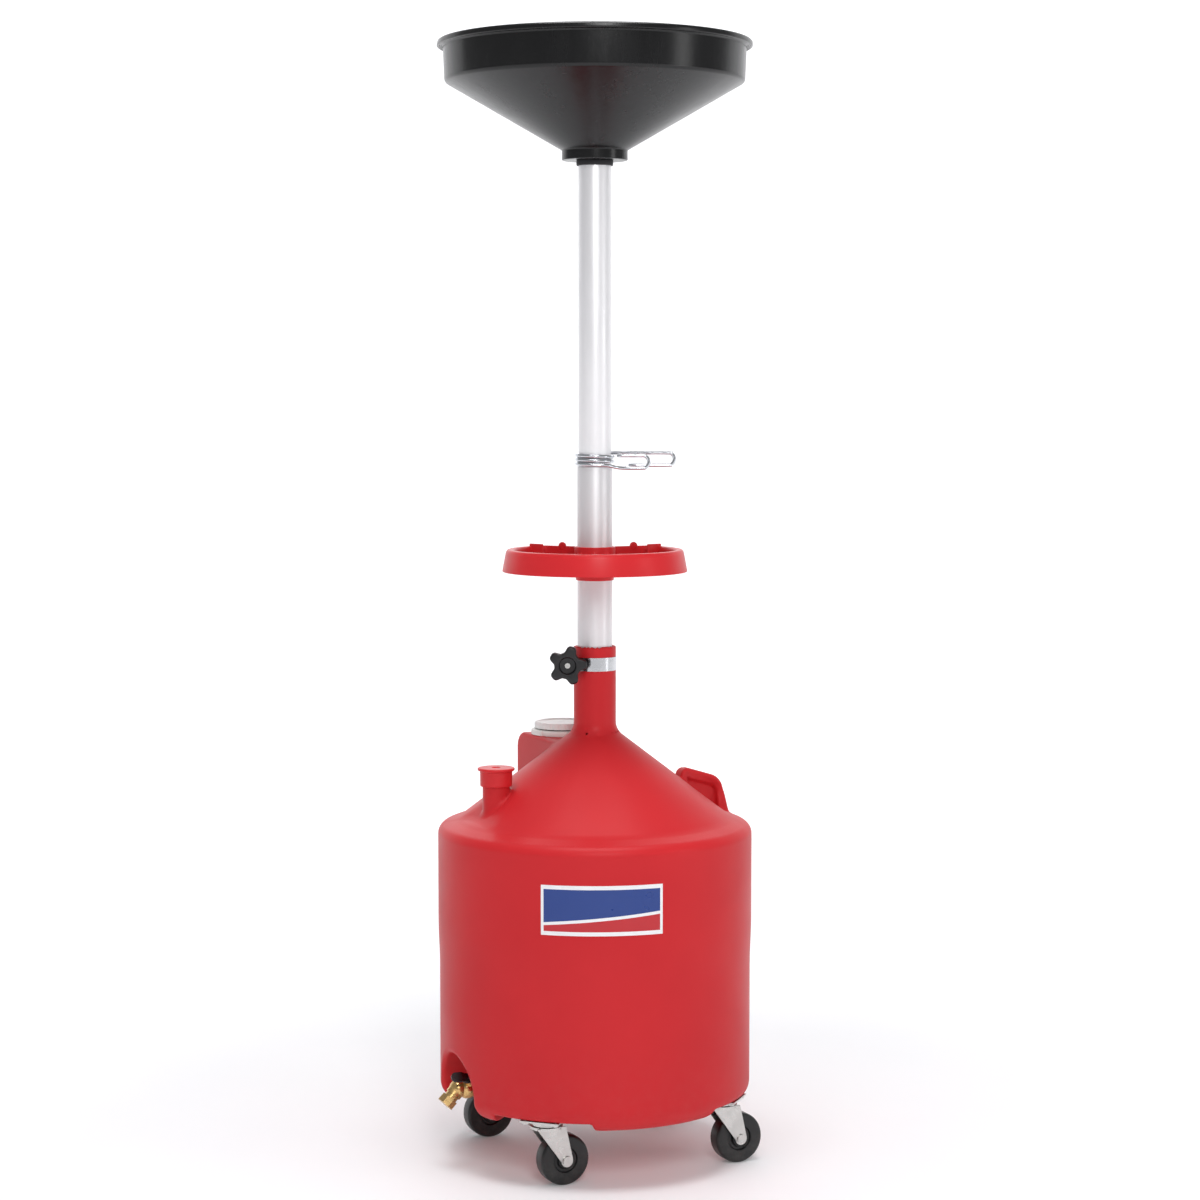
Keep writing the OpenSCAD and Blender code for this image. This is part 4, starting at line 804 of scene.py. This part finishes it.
# %% Paint the label
def label_finish(turn, arc, z_mid, z_half):
    """u = angle from the label's middle over half its arc, v = height over half its height;
    steps in u and v choose colours.
    """
    mat = bpy.data.materials.new("plain_label")
    mat.use_nodes = True
    tree = mat.node_tree
    xyz = node(tree, "SeparateXYZ", {0: node(tree, "TexCoord").outputs["Object"]})
    back = node(tree, "Math", {0: xyz.outputs["Y"], 1: -1.0}, operation="MULTIPLY").outputs[0]
    angle = node(tree, "Math", {0: xyz.outputs["X"], 1: back}, operation="ARCTAN2").outputs[0]
    lim = np.radians(arc / 2)
    u = node(tree, "MapRange", {"Value": angle, "From Min": np.radians(turn) - lim, "From Max": np.radians(turn) + lim,
                                "To Min": -1.0, "To Max": 1.0}).outputs[0]
    v = node(tree, "MapRange", {"Value": xyz.outputs["Z"], "From Min": z_mid - z_half, "From Max": z_mid + z_half,
                                "To Min": -1.0, "To Max": 1.0}).outputs[0]

    def within(value, limit):
        size = node(tree, "Math", {0: value}, operation="ABSOLUTE").outputs[0]
        return node(tree, "Math", {0: size, 1: limit}, operation="LESS_THAN").outputs[0]

    field = node(tree, "Math", {0: within(u, 0.955), 1: within(v, 0.84)}, operation="MULTIPLY").outputs[0]
    tilted = node(tree, "Math", {0: u, 1: -0.22}, operation="MULTIPLY").outputs[0]
    split = node(tree, "Math", {0: v, 1: tilted}, operation="ADD").outputs[0]
    below = node(tree, "Math", {0: split, 1: -0.40}, operation="LESS_THAN").outputs[0]
    gap = node(tree, "Math", {0: split, 1: -0.28}, operation="LESS_THAN").outputs[0]
    white = linear(238, 238, 240)
    inner = mixed(tree, gap, linear(24, 58, 132), white)
    inner = mixed(tree, below, inner, linear(190, 28, 38))
    tone = node(tree, "Group", {}, node_tree=drift)
    tree.links.new(mixed(tree, field, white, inner), tone.inputs["Colour"])
    tone.inputs["Other"].default_value = linear(120, 120, 128)
    tone.inputs["Scale"].default_value, tone.inputs["Amount"].default_value = 14.0, 0.02
    shader = tree.nodes["Principled BSDF"]
    tree.links.new(tone.outputs["Colour"], shader.inputs["Base Color"])
    gloss = node(tree, "MapRange", {"Value": tone.outputs["Mask"], "To Min": 0.27, "To Max": 0.29})
    tree.links.new(gloss.outputs[0], shader.inputs["Roughness"])
    return mat


lo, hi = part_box("label_plate")
finishes["label"] = label_finish(-21.9, 43.3, (lo.z + hi.z) / 2, (hi.z - lo.z) / 2)

# %% [markdown]
# ## Dress every piece
# Each piece names the slot that its finish comes from. The CAD nodes that
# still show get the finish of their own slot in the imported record.

# %% Give out the finishes
slots = {s["node"]: s["material_slot"] for s in frame["record"]["subparts"]}
for name, cad in nodes.items():
    for place in cad.material_slots:
        place.material = finishes[slots[name]]
dressed = 0
for piece in bpy.context.scene.objects:
    if piece.type == "MESH" and "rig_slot" in piece and "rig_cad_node" not in piece:
        piece.data.materials.append(finishes[piece["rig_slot"]])
        dressed += 1
print("new pieces dressed:", dressed, "CAD nodes dressed:", len(slots))

# %% [markdown]
# ## Floor, light and camera
# A pale floor curves up behind the object like a studio's paper sweep,
# so there is no horizon. Large soft lights give broad highlights: one high in
# front, one low at the right, one above and one behind. The camera has a long lens
# and stands low, looking slightly down, as for a catalogue picture.

# %% Paper sweep
def sweep_floor(width=14.0, flat=5.0, rise=7.0, bend=2.5, steps=40):
    """A profile flat, then a quarter circle, then upright, carried along the width and turned to face the camera."""
    a = np.linspace(0, np.pi / 2, steps)
    run = np.concatenate([[-9.0], flat + bend * np.sin(a), [flat + bend]])
    up = np.concatenate([[0.0], bend * (1 - np.cos(a)), [rise]])
    side = np.linspace(-width, width, 9)
    V = np.stack(np.broadcast_arrays(side[None, :], run[:, None], up[:, None]), -1).reshape(-1, 3)
    V = V @ turned(-24.6).T
    i, j = np.meshgrid(np.arange(len(run) - 1), np.arange(8), indexing="ij")
    a = i * 9 + j
    mesh = bpy.data.meshes.new("paper_sweep")
    mesh.from_pydata(V.tolist(), [], np.stack([a, a + 1, a + 10, a + 9], -1).reshape(-1, 4).tolist())
    mesh.shade_smooth()
    paper = bpy.data.objects.new("paper_sweep", mesh)
    bpy.context.scene.collection.objects.link(paper)
    return paper


paper = sweep_floor()
paper.data.materials.append(finish("pale_paper", linear(236, 236, 238), linear(230, 231, 234), (1.5, 0.4),
                                   (0.75, 0.05), (80.0, (1, 1, 1), 0.02)))
# The paper glows with painted light: its emission grows from faint near the object to strong far away, so the backdrop
# reads bright white while the floor next to the object keeps its shadow.
tree = paper.data.materials[0].node_tree
away = node(tree, "VectorMath", {0: node(tree, "TexCoord").outputs["Object"]}, operation="LENGTH").outputs["Value"]
paper_glow = node(tree, "MapRange", {"Value": away, "From Min": 0.8, "From Max": 4.0, "To Min": 0.1, "To Max": 0.62})
tree.links.new(paper_glow.outputs[0], tree.nodes["Principled BSDF"].inputs["Emission Strength"])
tree.nodes["Principled BSDF"].inputs["Emission Color"].default_value = (1, 1, 1, 1)


# %% Lights
def soft_light(name, at, towards, size, power, tint=(1, 1, 1)):
    """A square area light at a point, turned to face another."""
    data = bpy.data.lights.new(name, "AREA")
    data.shape, data.size, data.size_y = "RECTANGLE", size[0], size[1]
    data.energy, data.color = power, tint
    light = bpy.data.objects.new(name, data)
    at = np.array(at, float)
    direction = np.array(towards, float) - at
    light.location = at
    light.rotation_euler = Vector(direction).to_track_quat("-Z", "Y").to_euler()
    bpy.context.scene.collection.objects.link(light)
    return light


soft_light("key", (-1.25, -3.9, 2.9), (0, 0, 0.9), (1.0, 1.5), 62)
soft_light("fill", (2.6, -2.8, 1.4), (0, 0, 0.9), (0.8, 2.0), 12)
soft_light("top", (-0.2, -0.4, 3.8), (0, 0, 0.5), (1.8, 1.8), 92)
soft_light("back", (1.2, 3.2, 2.8), (0, 0, 1.0), (2.4, 1.6), 16)
world = bpy.data.worlds.new("soft_room")
world.use_nodes = True
world.node_tree.nodes["Background"].inputs["Color"].default_value = (0.97, 0.98, 1.0, 1)
world.node_tree.nodes["Background"].inputs["Strength"].default_value = 0.32
bpy.context.scene.world = world
bpy.context.scene.view_settings.view_transform = "Standard"

# %% Camera
TURN = radians(-24.6)
AWAY, HEIGHT, ASIDE = 4.1014, 1.1567, 0.0077
cam_data = bpy.data.cameras.new("catalogue_camera")
cam_data.lens, cam_data.sensor_width = 82.76, 36.0
cam_data.clip_end = 60.0
camera = bpy.data.objects.new("catalogue_camera", cam_data)
camera.location = (AWAY * np.sin(TURN) + ASIDE * np.cos(TURN), -AWAY * np.cos(TURN) + ASIDE * np.sin(TURN), HEIGHT)
camera.rotation_euler = (radians(85.516), 0, TURN)
bpy.context.scene.collection.objects.link(camera)
bpy.context.scene.camera = camera
print("camera at", [round(v, 3) for v in camera.location])
